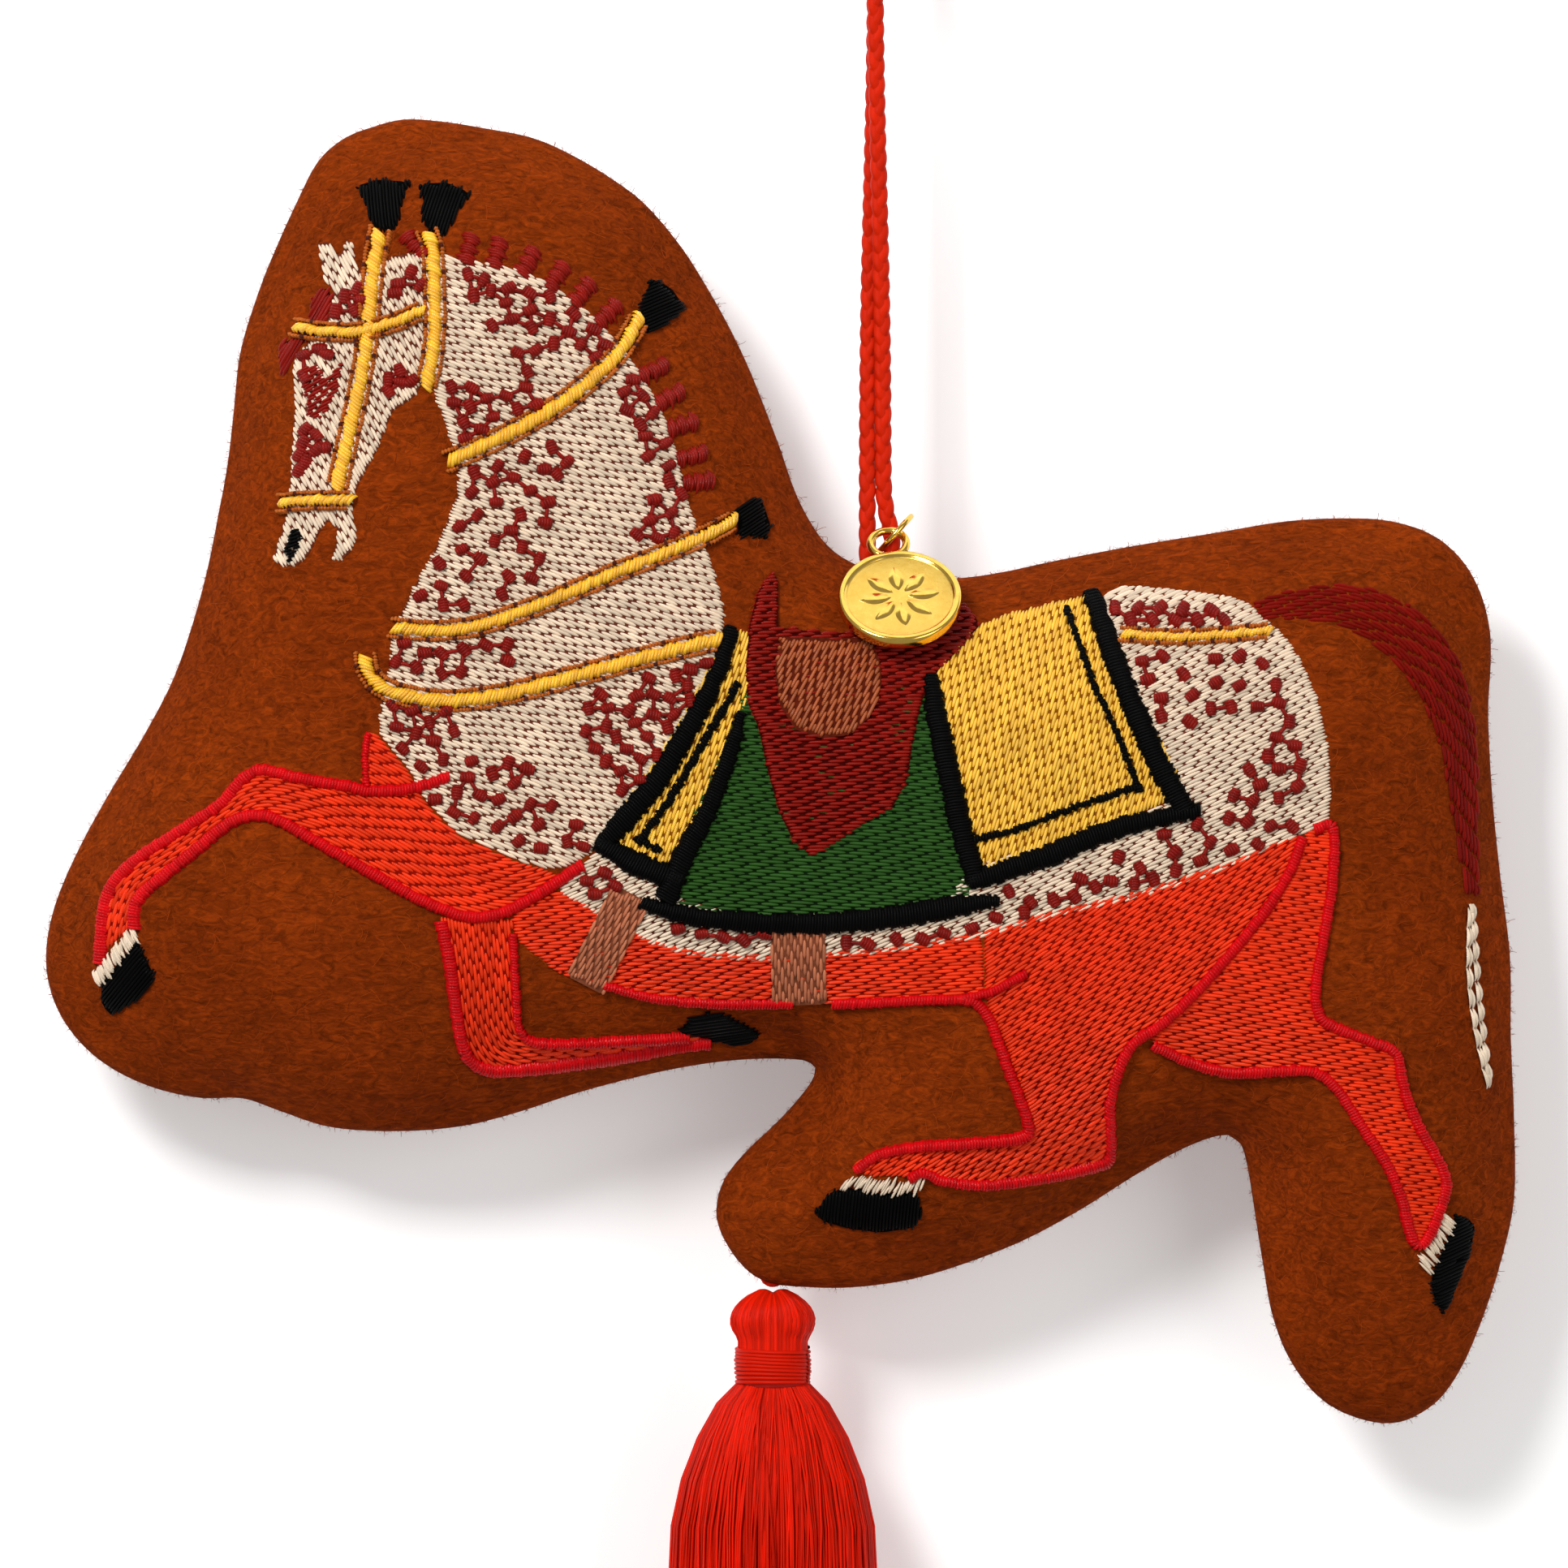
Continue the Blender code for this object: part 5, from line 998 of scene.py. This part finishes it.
def fibres(name, starts, ways, length, width, lift, curl, side):
    """Loose wool fibres as thin curling ribbons over the felt."""
    count, n = len(starts), 7
    heading = np.array(ways, float)
    line = np.zeros((count, n, 2))
    line[:, 0] = starts
    bend = rng.normal(0, curl, count)
    step = np.asarray(length) / (n - 1)
    for i in range(1, n):
        heading = heading + bend + rng.normal(0, curl * 0.5, count)
        line[:, i] = line[:, i - 1] + step[:, None] * np.stack([np.cos(heading), np.sin(heading)], axis=1)
    across = left_of(unit(np.gradient(line, axis=1), 1e-6))
    spots = line[:, :, None, :] + across[:, :, None, :] * np.array([-0.5, 0.5])[None, None, :, None] * width
    points = on_front(spots, lift)
    points[..., 1] *= side
    return make_object(name, world(points), grid_faces(count, n, 2), hair, None, "horse")


hair, hair_tree, hair_shader = new_material("wool_fibre")
hair_island = hair_tree.nodes.new("ShaderNodeNewGeometry")
hair_tone = ramp(hair_tree, hair_island.outputs["Random Per Island"], (0.0, scaled(FELT_SHADE, 0.6)),
                 (0.55, scaled(FELT_SHADE, 1.15)), (1.0, scaled(FELT_SHADE, 1.9)))
finish(hair_shader, hair_tone, 0.8, 0.05)

WOOL = 9000  # fibres on each panel
FUZZ = 2400  # fibres round each panel's edge
for side_name, side in (("front", 1), ("back", -1)):
    spots = np.stack([rng.uniform(-104, 79, 3 * WOOL), rng.uniform(-106, 56, 3 * WOOL)], axis=1)
    spots = spots[read(INSIDE, spots) > 0.8][:WOOL]
    ways = rng.normal(0.2, 0.7, len(spots))
    lengths = rng.uniform(0.8, 2.4, len(spots))
    fibres("wool_" + side_name, spots, ways, lengths, width=0.055, lift=0.04, curl=0.16, side=side)
    ring_at = rng.integers(0, len(rim), FUZZ)
    out_way = np.arctan2(-inward[ring_at, 1], -inward[ring_at, 0]) + rng.normal(0, 1.0, len(ring_at))
    roots = rim[ring_at] + inward[ring_at] * rng.uniform(0.1, 0.6, (len(ring_at), 1))
    lengths = rng.uniform(0.3, 0.95, len(ring_at))
    fibres("fuzz_" + side_name, roots, out_way, lengths, width=0.04, lift=0.03, curl=0.25, side=side)

# ---------------------------------------------------------------- embroidery

# the direction of each area's rows, in degrees
ROWS = {
    "coat_head": -62, "coat_neck": -24, "coat_body": 24, "belly": 4, "leg_hind_near": 34, "leg_hind_far": -6,
    "hoof_fore_raised": 50, "hoof_fore_tucked": 8, "hoof_hind_near": 84, "hoof_hind_far": 24, "blanket": -3,
    "front_cloth": 72, "rear_cloth": 74, "saddle": 2, "saddle_seat": 62, "plume_poll_left": 96,
    "plume_poll_right": 72, "plume_neck_upper": 25, "plume_neck_lower": 35, "forelock": 60, "nostril": 20,
}
# or the line they follow, and how far to each side of it
ROWS_BESIDE = {
    "leg_fore_raised": (11, [
        (-38, -37.5), (-45, -39.5), (-52, -38), (-60, -33.5), (-68, -29.5), (-76, -28), (-81, -30.5),
        (-86, -34.2), (-92, -38.2), (-94.2, -42), (-95.4, -48)]),
    "leg_fore_tucked": (6, [
        (-50, -42), (-49, -50), (-48, -57), (-45.5, -60), (-38, -60), (-28, -58.8), (-20, -58.2)]),
}
LIFTS = (0.16, 0.46, 0.76)  # how high threads stand on 0, 1 and 2 layers of others
# how far an area's stitches reach past its outline, under the next one's, where that isn't 0.3
GROW = {
    "coat_body": 1.1, "blanket": 1.2, "front_cloth": 0.9, "rear_cloth": 0.9, "saddle_seat": 0.1,
    "coat_head": 0.15,
}
WHOLE = ("plume", "hoof", "forelock")  # areas whose stitches go from edge to edge

# dark sheets of painted shade under the stitched areas, for the gaps and needle holes between stitches
SHADE_UNDER_THREADS = {}
for kind, (_, _, shade) in THREAD_LOOKS.items():
    if shade:
        dark, light = scaled(linear(*shade), 0.7), scaled(linear(*shade), 1.3)
        SHADE_UNDER_THREADS[kind] = two_tone("shade_under_" + kind, 1500, 3, 0.6, dark, light, 0.9, 0.02)


def painted_shade_sheet(name, kind, outline, lift):
    """A dark sheet of painted shade under an area of stitches, seen only between them."""
    closed = np.array(outline + outline[:1], float)
    around = spaced(closed, 1.0)[:-1]
    low, high = around.min(axis=0), around.max(axis=0)
    inner = np.array([(x, z) for x in np.arange(low[0], high[0], 1.3)
                      for z in np.arange(low[1], high[1], 1.3)])
    inner = inner[to_edge(inner, around) > 0.5]
    points, faces, _ = triangles(around, inner)
    make_object("shade_under_" + name, world(on_front(points, lift - 0.05)), faces, SHADE_UNDER_THREADS[kind], None, "horse")


for name, level, kind, outline in FILLS:
    if name in ROWS_BESIDE:
        reach, spine = ROWS_BESIDE[name]
        rows = rows_along(spine, reach, PITCH)
    else:
        rows = rows_straight(outline, ROWS[name], PITCH)
    whole = name.startswith(WHOLE)
    ragged = 0.14 if not whole else 0.3 if "hoof" in name else 0.5
    lines = stitches_in(rows, outline, 1000 if whole else STITCH, GROW.get(name, 0.3), ragged)
    lift = LIFTS[level] + (0.12 if kind == "black" else -0.06 if name == "coat_body" else 0)
    piece = thread_mesh("stitch_" + name, kind, lines, lift, puff=rng.normal(0, 0.025, len(lines)))
    # painted shade under the area's stitches, except in the nostril
    if name != "nostril":
        painted_shade_sheet(name, kind, outline, lift)
    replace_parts(piece, name)

# the maroon thread again, darker: painted shade that takes back the sheen the tail's slant catches
TAIL_SHADED_RED = thread_material("tail_red_painted_shade", linear(120, 14, 6), 0.2, 0.45, 0.04)
STRAP_GOLD = thread_material("strap_gold", linear(253, 186, 36), 0.2, 0.26, 0.8)
BROWN_EDGE = thread_material("strap_edge", linear(176, 92, 34), 0.2, 0.45, 0.1)
DARK_DASH = thread_material("strap_dash", linear(74, 26, 18), 0.15, 0.5, 0.1)
STRAP_PITCH = 0.42  # between a strap's stitches
EDGE_W = 0.56  # of the brown edges
BEAT = 3.3  # from one swelling or dash to the next
DASH = 1.25  # a dash's length


def strap(name, kind, lift, width, path):
    """A gold strap that swells and thins, with a brown edge and dark dashes on each side."""
    lines, wide = satin_lines(path, width, STRAP_PITCH, slant=1.1, jitter=0.14)
    beat = np.sin(np.arange(len(wide)) * STRAP_PITCH / BEAT * 2 * math.pi) + rng.normal(0, 0.35, len(wide))
    middle = lines.mean(axis=1, keepdims=True)
    lines = middle + (lines - middle) * (1 + 0.10 * beat)[:, None, None]
    piece = thread_mesh("stitch_" + name, kind, lines, lift, 0.48, 0.3, puff=0.22 + 0.07 * wide + 0.14 * beat,
                        profile=SATIN, material=STRAP_GOLD, taper=PLUMP)
    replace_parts(piece, name)
    line = smooth(path, 0.4)
    beside_way = left_of(unit(np.gradient(line, axis=0)))
    for edge_name, edge_side in (("left", 1), ("right", -1)):
        shift = edge_side * (width / 2 + 0.26)
        lines, wide = satin_lines(path, EDGE_W, 0.40, slant=0.3 * edge_side, shift=shift)
        thread_mesh(f"edge_{name}_{edge_name}", "brown", lines, lift, puff=0.08 + 0 * wide, profile=SATIN,
                    material=BROWN_EDGE, taper=PLUMP)
        beside = line + beside_way * shift
        starts = np.arange(1.7 if edge_side > 0 else 0.8, lengths_along(beside)[-1] - 1.4, BEAT)
        dashes = np.array([at_lengths(beside, start + DASH * SHARES) for start in starts])
        thread_mesh(f"dash_{name}_{edge_name}", "brown", dashes, lift + 0.12, 0.5,
                    puff=np.full(len(dashes), 0.12), profile=SATIN, material=DARK_DASH)


def girth(name, kind, lift, width, path):
    """A short wide strap with rows along it."""
    line = smooth(path, 0.5)
    heading = line[-1] - line[0]
    side = left_of(unit(heading)) * width / 2
    box = np.array([line[0] + side, line[0] - side, line[-1] - side, line[-1] + side])
    lines = stitches_in(rows_along(path, width / 2, PITCH), box, 2.6, 0.2, 0.4)
    # painted shade under the girth's stitches
    painted_shade_sheet(name, kind, [tuple(corner) for corner in box], lift)
    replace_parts(thread_mesh("stitch_" + name, kind, lines, lift), name)


def tail(name, kind, lift, widths, path):
    """Long stitches that follow the tail's curve, in a band of changing width."""
    line = spaced(smooth(path, 0.5), 0.5)
    wide = np.interp(np.linspace(0, 1, len(line)), np.linspace(0, 1, len(widths)), widths)
    side = left_of(unit(np.gradient(line, axis=0))) * wide[:, None] / 2
    outline = np.vstack([line + side, (line - side)[::-1]])
    lines = stitches_in(rows_along(path, 4, PITCH), outline, 3.4, 0.2, 0.5)
    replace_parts(thread_mesh("stitch_" + name, kind, lines, lift, material=TAIL_SHADED_RED), name)


def tail_tip(name, kind, lift, path):
    """Two bowed lines of paired stitches."""
    lines = []
    for bow in (-0.51, 0.51):
        line = smooth(path, 0.3)
        t = np.linspace(0, 1, len(line))
        line = line + np.stack([bow * np.sin(math.pi * np.clip(t * 1.05, 0, 1)) ** 0.8, 0 * t], axis=1)
        for start in np.arange(-0.8 if bow > 0 else 0, lengths_along(line)[-1] - 2.4, 2.5):
            for aside in (-0.24, 0.1):
                marks = start + rng.uniform(0, 0.3) + STITCH * SHARES
                lines.append(at_lengths(line, marks) + [aside, 0])
    puff = np.full(len(lines), 0.2)
    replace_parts(thread_mesh("stitch_" + name, kind, np.array(lines), lift, puff=puff, profile=SATIN), name)


def satin(runs, pitch, slant, jitter):
    """Stitches across each of a band's runs, with their widths."""
    made = [satin_lines(path, width, pitch, slant, jitter) for width, path in runs]
    return np.concatenate([m[0] for m in made]), np.concatenate([m[1] for m in made])


def border(name, kind, lift, runs):
    """Stitches side by side across each run."""
    black = kind == "black"
    lines, wide = satin(runs, pitch=0.36, slant=0.25, jitter=0.2 if black else 0.1)
    puff = 0.16 + 0.05 * wide
    if black:
        middle = lines.mean(axis=1, keepdims=True)
        lines = middle + (lines - middle) * 1.08
        puff = 0.12 + 0 * wide
    piece = thread_mesh("stitch_" + name, kind, lines, lift, 0.46, puff=puff,
                        profile=FLAT if black else SATIN, taper=PLUMP)
    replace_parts(piece, name)


def fetlock(name, kind, lift, runs):
    """A cuff of loose slanting stitches over a hoof."""
    lines, wide = satin(runs, pitch=0.2, slant=0.9, jitter=0.45)
    lines = lines + rng.normal(0, 0.16, (len(lines), 1, 2))
    piece = thread_mesh("stitch_" + name, kind, lines, lift + 0.14, 0.30, puff=0.12 + 0 * wide, profile=FLAT)
    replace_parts(piece, name)


for name, level, kind, runs in BANDS:
    lift = LIFTS[level]
    width, path = runs[0]
    if name.startswith("strap"):
        strap(name, kind, lift, width, path)
    elif name.startswith("girth"):
        girth(name, kind, lift, width, path)
    elif name.startswith("coronet"):
        fetlock(name, kind, lift, runs)
    elif name == "tail":
        tail(name, kind, lift, width, path)
    elif name == "tail_tip":
        tail_tip(name, kind, lift, path)
    else:
        border(name, kind, lift, runs)

DOT_RED = thread_material("dot_red", linear(126, 16, 8), 0.2, 0.34, 0.14)
DOT_R = 0.92
DOT_STITCHES = (-0.72, -0.36, 0.0, 0.36, 0.72)
DOT_LINK = 2.75  # dots nearer than this have a stitch between them


def knots(name, centres):
    """Small round dots of short stitches side by side, and a stitch from each dot to any other near it."""
    lines = []
    for x, z in centres:
        way = rng.uniform(0, math.pi)
        d = np.array([math.cos(way), math.sin(way)])
        e = np.array([-d[1], d[0]])
        size = DOT_R * rng.uniform(0.92, 1.08)
        for offset in DOT_STITCHES:
            half = size * (1 - offset**2) ** 0.3
            lines.append(np.array([x, z]) + e * offset * size + d * half * (2 * SHARES - 1)[:, None])
    for i, (x, z) in enumerate(centres):
        for u, v in centres[i + 1:]:
            if math.hypot(u - x, v - z) < DOT_LINK:
                lines.append(np.array([x, z]) + (np.array([u, v]) - [x, z]) * SHARES[:, None])
    puff = np.full(len(lines), 0.28)
    puff[len(DOT_STITCHES) * len(centres):] = 0.02
    thread_mesh(name, "maroon", np.array(lines), 0.42, 0.5, puff=puff, profile=FLAT, material=DOT_RED,
                taper=PLUMP)


for dots_name, centres in DOTS.items():
    knots("dots_" + dots_name, centres)
CHEEK_PATCH = [
    (-71.3, 24.2), (-69.3, 24.8), (-68, 22.9), (-66.2, 24.8), (-66.5, 22.3), (-68, 19.5), (-69, 18.6),
    (-70.4, 18.6), (-70.5, 20.5), (-71.2, 22.5)]
thread_mesh("patch_face", "maroon", stitches_in(rows_straight(CHEEK_PATCH, 30, 0.36), CHEEK_PATCH, 3.0), 0.45)

# the mane's tufts stand out from the crest of the neck, each of three blobs
TUFTS = [(-58, 40.5), (-50.5, 39.7), (-47, 39.2), (-43, 38.2), (-39.3, 36.7), (-35.8, 34.8), (-32.9, 31.8),
         (-27, 24.8), (-25.4, 21.3), (-23.6, 17.8), (-22.3, 14), (-21.9, 10.6)]
CREST = [(-56, 38.4), (-51, 37.4), (-45, 36.3), (-39, 33.2), (-34, 29.2), (-29.5, 23.4), (-26.3, 17.4),
         (-24.4, 11), (-23.6, 7.5)]
crest_line = smooth(CREST, 0.5)
tuft_lines = []
for x, z in TUFTS:
    foot = crest_line[np.argmin(np.linalg.norm(crest_line - [x, z], axis=1))]
    out = unit(np.array([x, z]) - foot, 1e-6)
    side = left_of(out)
    for blob in range(3):
        for k in (-0.45, -0.15, 0.15, 0.45):
            middle = foot + out * (0.4 + 1.3 * blob + k) + side * rng.uniform(-0.16, 0.16)
            half = (1.5 if abs(k) < 0.3 else 1.25) * rng.uniform(0.85, 1.1)
            tuft_lines.append(middle + (side + out * 0.15) * half * (2 * SHARES - 1)[:, None])
tuft_puff = np.full(len(tuft_lines), 0.34)
tufts = thread_mesh("stitch_mane", "maroon", np.array(tuft_lines), 0.2, 0.42, puff=tuft_puff, profile=SATIN)
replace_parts(tufts, "mane_upper", "mane_lower")

# ---------------------------------------------------------------- jump ring and tag


def circle(count):
    """Angles all the way round, one for each of some points."""
    return 2 * math.pi * np.arange(count) / count


def torus(major, minor, around, section):
    """Points and faces of a ring of wire that lies in the x and z plane."""
    a, b = circle(around)[:, None], circle(section)[None, :]
    reach = major + minor * np.cos(b)
    points = np.stack([reach * np.cos(a), minor * np.sin(b) + 0 * a, reach * np.sin(a)], axis=-1)
    faces = grid_faces(1, around + 1, section, True)[:, OTHER_WAY] % (around * section)
    return points.reshape(-1, 3), faces


def turned(profile, deep, around=48):
    """Points and faces of a profile turned about Z, flattened in y. The profile is (radius, z) points."""
    radius, z = np.array(profile, float).T
    radius = np.maximum(radius, 0.02)[:, None]
    a = circle(around)[None, :]
    points = np.stack([radius * np.cos(a), deep * radius * np.sin(a), z[:, None] + 0 * a], axis=-1)
    return points.reshape(-1, 3), grid_faces(1, len(profile), around, True)[:, OTHER_WAY]


def placed(points, ways, centre):
    """World points of a thing with its own axes and its own centre."""
    return world(np.array(centre) + points @ np.array([tuple(way) for way in ways]))


polished = gold_material("polished_gold", rough=0.14, grain=0.05)
satin_gold = gold_material("satin_gold", rough=0.30, grain=0.35)
rise = math.radians(RING_RISE)
ring_x = Vector((math.cos(rise), 0, math.sin(rise)))
ring_z = Vector((0, -1, 0))
ring_points, ring_faces = torus(RING_R, RING_WIRE / 2, 96, 20)
ring_points = placed(ring_points, (ring_x, ring_x.cross(ring_z), ring_z), RING_AT)
ring = make_object("gold_ring", ring_points, ring_faces, polished, None, "jump_ring_body")
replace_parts(ring, "jump_ring")

tilt = math.radians(TAG_TILT)
askew = math.radians(TAG_TURN)
lean = Vector((0, math.sin(tilt), math.cos(tilt)))
tag_up = math.cos(askew) * lean - math.sin(askew) * Vector((1, 0, 0))
tag_right = math.cos(askew) * Vector((1, 0, 0)) + math.sin(askew) * lean
tag_ways = (tag_right, tag_up.cross(tag_right), tag_up)
disc_at = -(BAIL_R + TAG_R - 0.2)
half = TAG_T / 2
AROUND = 120
FIRST_RIM, LAST_RIM = 2, 10  # the profile's polished bands
profile = [
    (0.0, -half + 0.30), (TAG_R - 1.15, -half + 0.30), (TAG_R - 1.0, -half + 0.25),
    (TAG_R - 0.85, -half + 0.04), (TAG_R - 0.65, -half), (TAG_R - 0.3, -half),
    (TAG_R - 0.1, -half + 0.08), (TAG_R, -half + 0.3),
    (TAG_R, half - 0.3), (TAG_R - 0.1, half - 0.08), (TAG_R - 0.3, half), (TAG_R - 0.8, half), (0.0, half)]
tag_points, tag_faces = turned(profile, 1, AROUND)
tag_points = placed(tag_points[:, [0, 2, 1]] + [0, 0, disc_at], tag_ways, BAIL_AT)
tag = make_object("gold_tag", tag_points, tag_faces, satin_gold, None, "tag")
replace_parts(tag, "charm")
tag.data.materials.append(polished)
for k, face in enumerate(tag.data.polygons):
    if FIRST_RIM <= k // AROUND <= LAST_RIM:
        face.material_index = 1
bail_points, bail_faces = torus(BAIL_R, BAIL_WIRE / 2, 72, 16)
make_object("gold_bail", placed(bail_points, tag_ways, BAIL_AT), bail_faces, polished, None, "tag")

# a plain rosette of petals stands on the tag's face
PETALS = 8
PETAL_FOOT, PETAL_LONG, PETAL_WIDE, PETAL_HIGH = 1.0, 4.0, 0.95, 0.22
petal_points = []
for petal in range(PETALS):
    turn = 2 * math.pi * petal / PETALS
    for t in np.linspace(0, 1, 13):
        along = PETAL_FOOT + PETAL_LONG * t
        bulge = math.sin(math.pi * t) if t < 1 else 0.0
        for s in (-1, -0.5, 0, 0.5, 1):
            aside = s * (PETAL_WIDE * bulge**0.8 + 0.02)
            petal_points.append((along * math.cos(turn) - aside * math.sin(turn),
                                 -half + 0.31 - PETAL_HIGH * (1 - s * s) * bulge**0.6,
                                 disc_at + along * math.sin(turn) + aside * math.cos(turn)))
petal_points = placed(np.array(petal_points), tag_ways, BAIL_AT)
make_object("rosette", petal_points, grid_faces(PETALS, 13, 5)[:, OTHER_WAY], polished, None, "tag")

# ---------------------------------------------------------------- tassel

silk = thread_material("tassel_floss", linear(220, 28, 4), 0.34, 0.34, 0.07)
# the tassel's inside in darker red: painted shade between the threads of floss
floss_painted_shade = two_tone("floss_painted_shade", 700, 3, 0.6, linear(150, 12, 4), linear(190, 22, 6), 0.7)
GAP = 0.15
loop_z = BOTTOM_EDGE + LOOP_R - GAP
head_top = loop_z - LOOP_R - LOOP_WIRE / 2 - GAP
binding_top = head_top - HEAD_H - 0.3
skirt_top = binding_top - BINDING_H - 0.3


def tubes(name, lines, radius, sides=5):
    """Threads of one thickness along lines of drawing points (count, n, 3)."""
    lines = np.asarray(lines, float)
    count, n, _ = lines.shape
    run = unit(np.gradient(lines, axis=1), 1e-6)
    other = np.where(np.abs(run[..., 1:2]) > 0.9, [[[1.0, 0, 0]]], [[[0, 1.0, 0]]])
    side = unit(np.cross(run, other), 1e-6)
    up = np.cross(run, side)
    around = np.linspace(0, 2 * math.pi, sides, endpoint=False)
    rings = lines[:, :, None, :] + radius * (side[:, :, None, :] * np.cos(around)[None, None, :, None]
                                             + up[:, :, None, :] * np.sin(around)[None, None, :, None])
    uv = np.empty((count, n, sides, 2))
    uv[..., 0] = along_each(lines)[:, :, None] * 0.5
    uv[..., 1] = (around * 0.15)[None, None, :]
    return make_object(name, world(rings), grid_faces(count, n, sides, True), silk, uv, "tassel")


def tassel_shade_core(name, profile, deep):
    """A dark solid inside the floss, which shows only between threads: painted shade deep in the tassel."""
    points, faces = turned(profile, deep)
    make_object(name, world(points + [TASSEL_X, 0, 0]), faces, floss_painted_shade, None, "tassel")


loop_points, loop_faces = torus(LOOP_R, LOOP_WIRE / 2, 48, 12)
loop = make_object("tassel_thread_loop", world(loop_points + [TASSEL_X, 0, loop_z]), loop_faces, silk, None,
                   "tassel_link")
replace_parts(loop, "tassel_loop")

# the head: floss folded over the loop and gathered in two bunches
HEAD_THREADS = 190
HEAD_DEEP = 0.9
head_lines = []
for k in range(HEAD_THREADS):
    a = 2 * math.pi * (k + rng.uniform(-0.3, 0.3)) / HEAD_THREADS
    lobe = 0.95 + 0.10 * abs(math.cos(a)) - 0.12 * math.exp(-((math.cos(a) / 0.22) ** 2))
    line = []
    for t in np.linspace(0.04, 0.97, 12):
        r = HEAD_R * lobe * math.sin(math.pi * t) ** 0.55 * rng.uniform(0.985, 1.015)
        r = max(r, 0.4 if t < 0.5 else HEAD_R * 0.86)
        dent = 0.4 * math.exp(-((math.cos(a) * 3) ** 2)) * math.exp(-((t / 0.3) ** 2))
        line.append((TASSEL_X + r * math.cos(a), HEAD_DEEP * r * math.sin(a),
                     head_top + 0.1 - (HEAD_H + 0.7) * t - dent))
    head_lines.append(line)
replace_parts(tubes("tassel_head_floss", head_lines, 0.15), "tassel_head")
core = [(HEAD_R * 0.78 * math.sin(math.pi * t) ** 0.65, head_top - 0.4 - (HEAD_H - 0.6) * t)
        for t in np.linspace(0.03, 0.97, 12)]
tassel_shade_core("tassel_head_core", [(0, head_top - 0.5)] + core + [(0, binding_top + 0.2)], 0.88)

# the binding: turns of thread wound round the neck
WRAP_TURNS = 9
WRAP_STEPS = 40  # in each turn
wrap = []
for i in range(WRAP_TURNS * WRAP_STEPS + 1):
    a = 2 * math.pi * i / WRAP_STEPS
    t = i / (WRAP_TURNS * WRAP_STEPS)
    z = binding_top + 0.6 - (BINDING_H + 0.4) * t + 0.14 * math.sin(a * 0.93)
    r = BINDING_R - 0.2 + 0.16 * math.sin(math.pi * t) + 0.05 * math.sin(a * 0.37)
    wrap.append((TASSEL_X + r * math.cos(a), HEAD_DEEP * r * math.sin(a), z))
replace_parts(tubes("tassel_binding_thread", [wrap], 0.25, 8), "tassel_binding")
neck = [(0, binding_top), (BINDING_R - 0.3, binding_top), (BINDING_R - 0.2, binding_top - 1),
        (BINDING_R - 0.2, skirt_top + 0.8), (BINDING_R - 0.4, skirt_top), (0, skirt_top)]
tassel_shade_core("tassel_neck", neck, HEAD_DEEP)

# the skirt: cut floss hanging from the binding
SKIRT_THREADS = 2600
SWELL = 0.7  # how fast the skirt widens under the binding
SWELL_END = 0.36  # the share of its length where it is widest


def skirt_swell(t):
    """How far the skirt has widened past the binding, at a share of its length."""
    return (SKIRT_R - BINDING_R) * math.sin(math.pi / 2 * min(t / SWELL_END, 1)) ** SWELL


skirt_lines = []
for _ in range(SKIRT_THREADS):
    a = rng.uniform(0, 2 * math.pi)
    share = math.sqrt(rng.uniform(0.62, 1.0))
    stray = rng.normal(0, 0.02)
    wander = rng.normal(0, 0.5, 2)
    length = SKIRT_H * (1 - abs(rng.normal(0, 0.006)))
    cross = rng.normal(0, 0.10)
    line = []
    for t in np.linspace(0, 1, 11) ** 1.35:
        reach = (BINDING_R - 0.4 + skirt_swell(t)) * share * (1 + stray * t)
        turn = a + 0.05 * wander[0] * t + cross * (1 - t) ** 4
        line.append((TASSEL_X + reach * math.cos(turn) + 0.3 * wander[1] * math.sin(5 * t),
                     FLATTEN * reach * math.sin(turn), skirt_top + 0.7 - length * t))
    skirt_lines.append(line)
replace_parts(tubes("tassel_skirt_floss", skirt_lines, 0.125, 4), "tassel_skirt")
core = [(0.88 * (BINDING_R - 0.6 + skirt_swell(t)), skirt_top - t * SKIRT_H)
        for t in (0.0, 0.03, 0.06, 0.1, 0.15, 0.22, 0.3, 0.45, 0.7, 0.97)]
tassel_shade_core("tassel_skirt_core", [(0, skirt_top)] + core + [(0, skirt_top - 0.97 * SKIRT_H)], FLATTEN)

# ---------------------------------------------------------------- what stays from the frame

batting = two_tone("batting", 500, 6, 0.7, (0.62, 0.61, 0.58), (0.85, 0.84, 0.82), 0.95, distortion=1.5)
for node_name, material in (("fibre_stuffing", batting), ("cord_knot", floss)):
    for place in frame["nodes"][node_name].material_slots:
        place.material = material
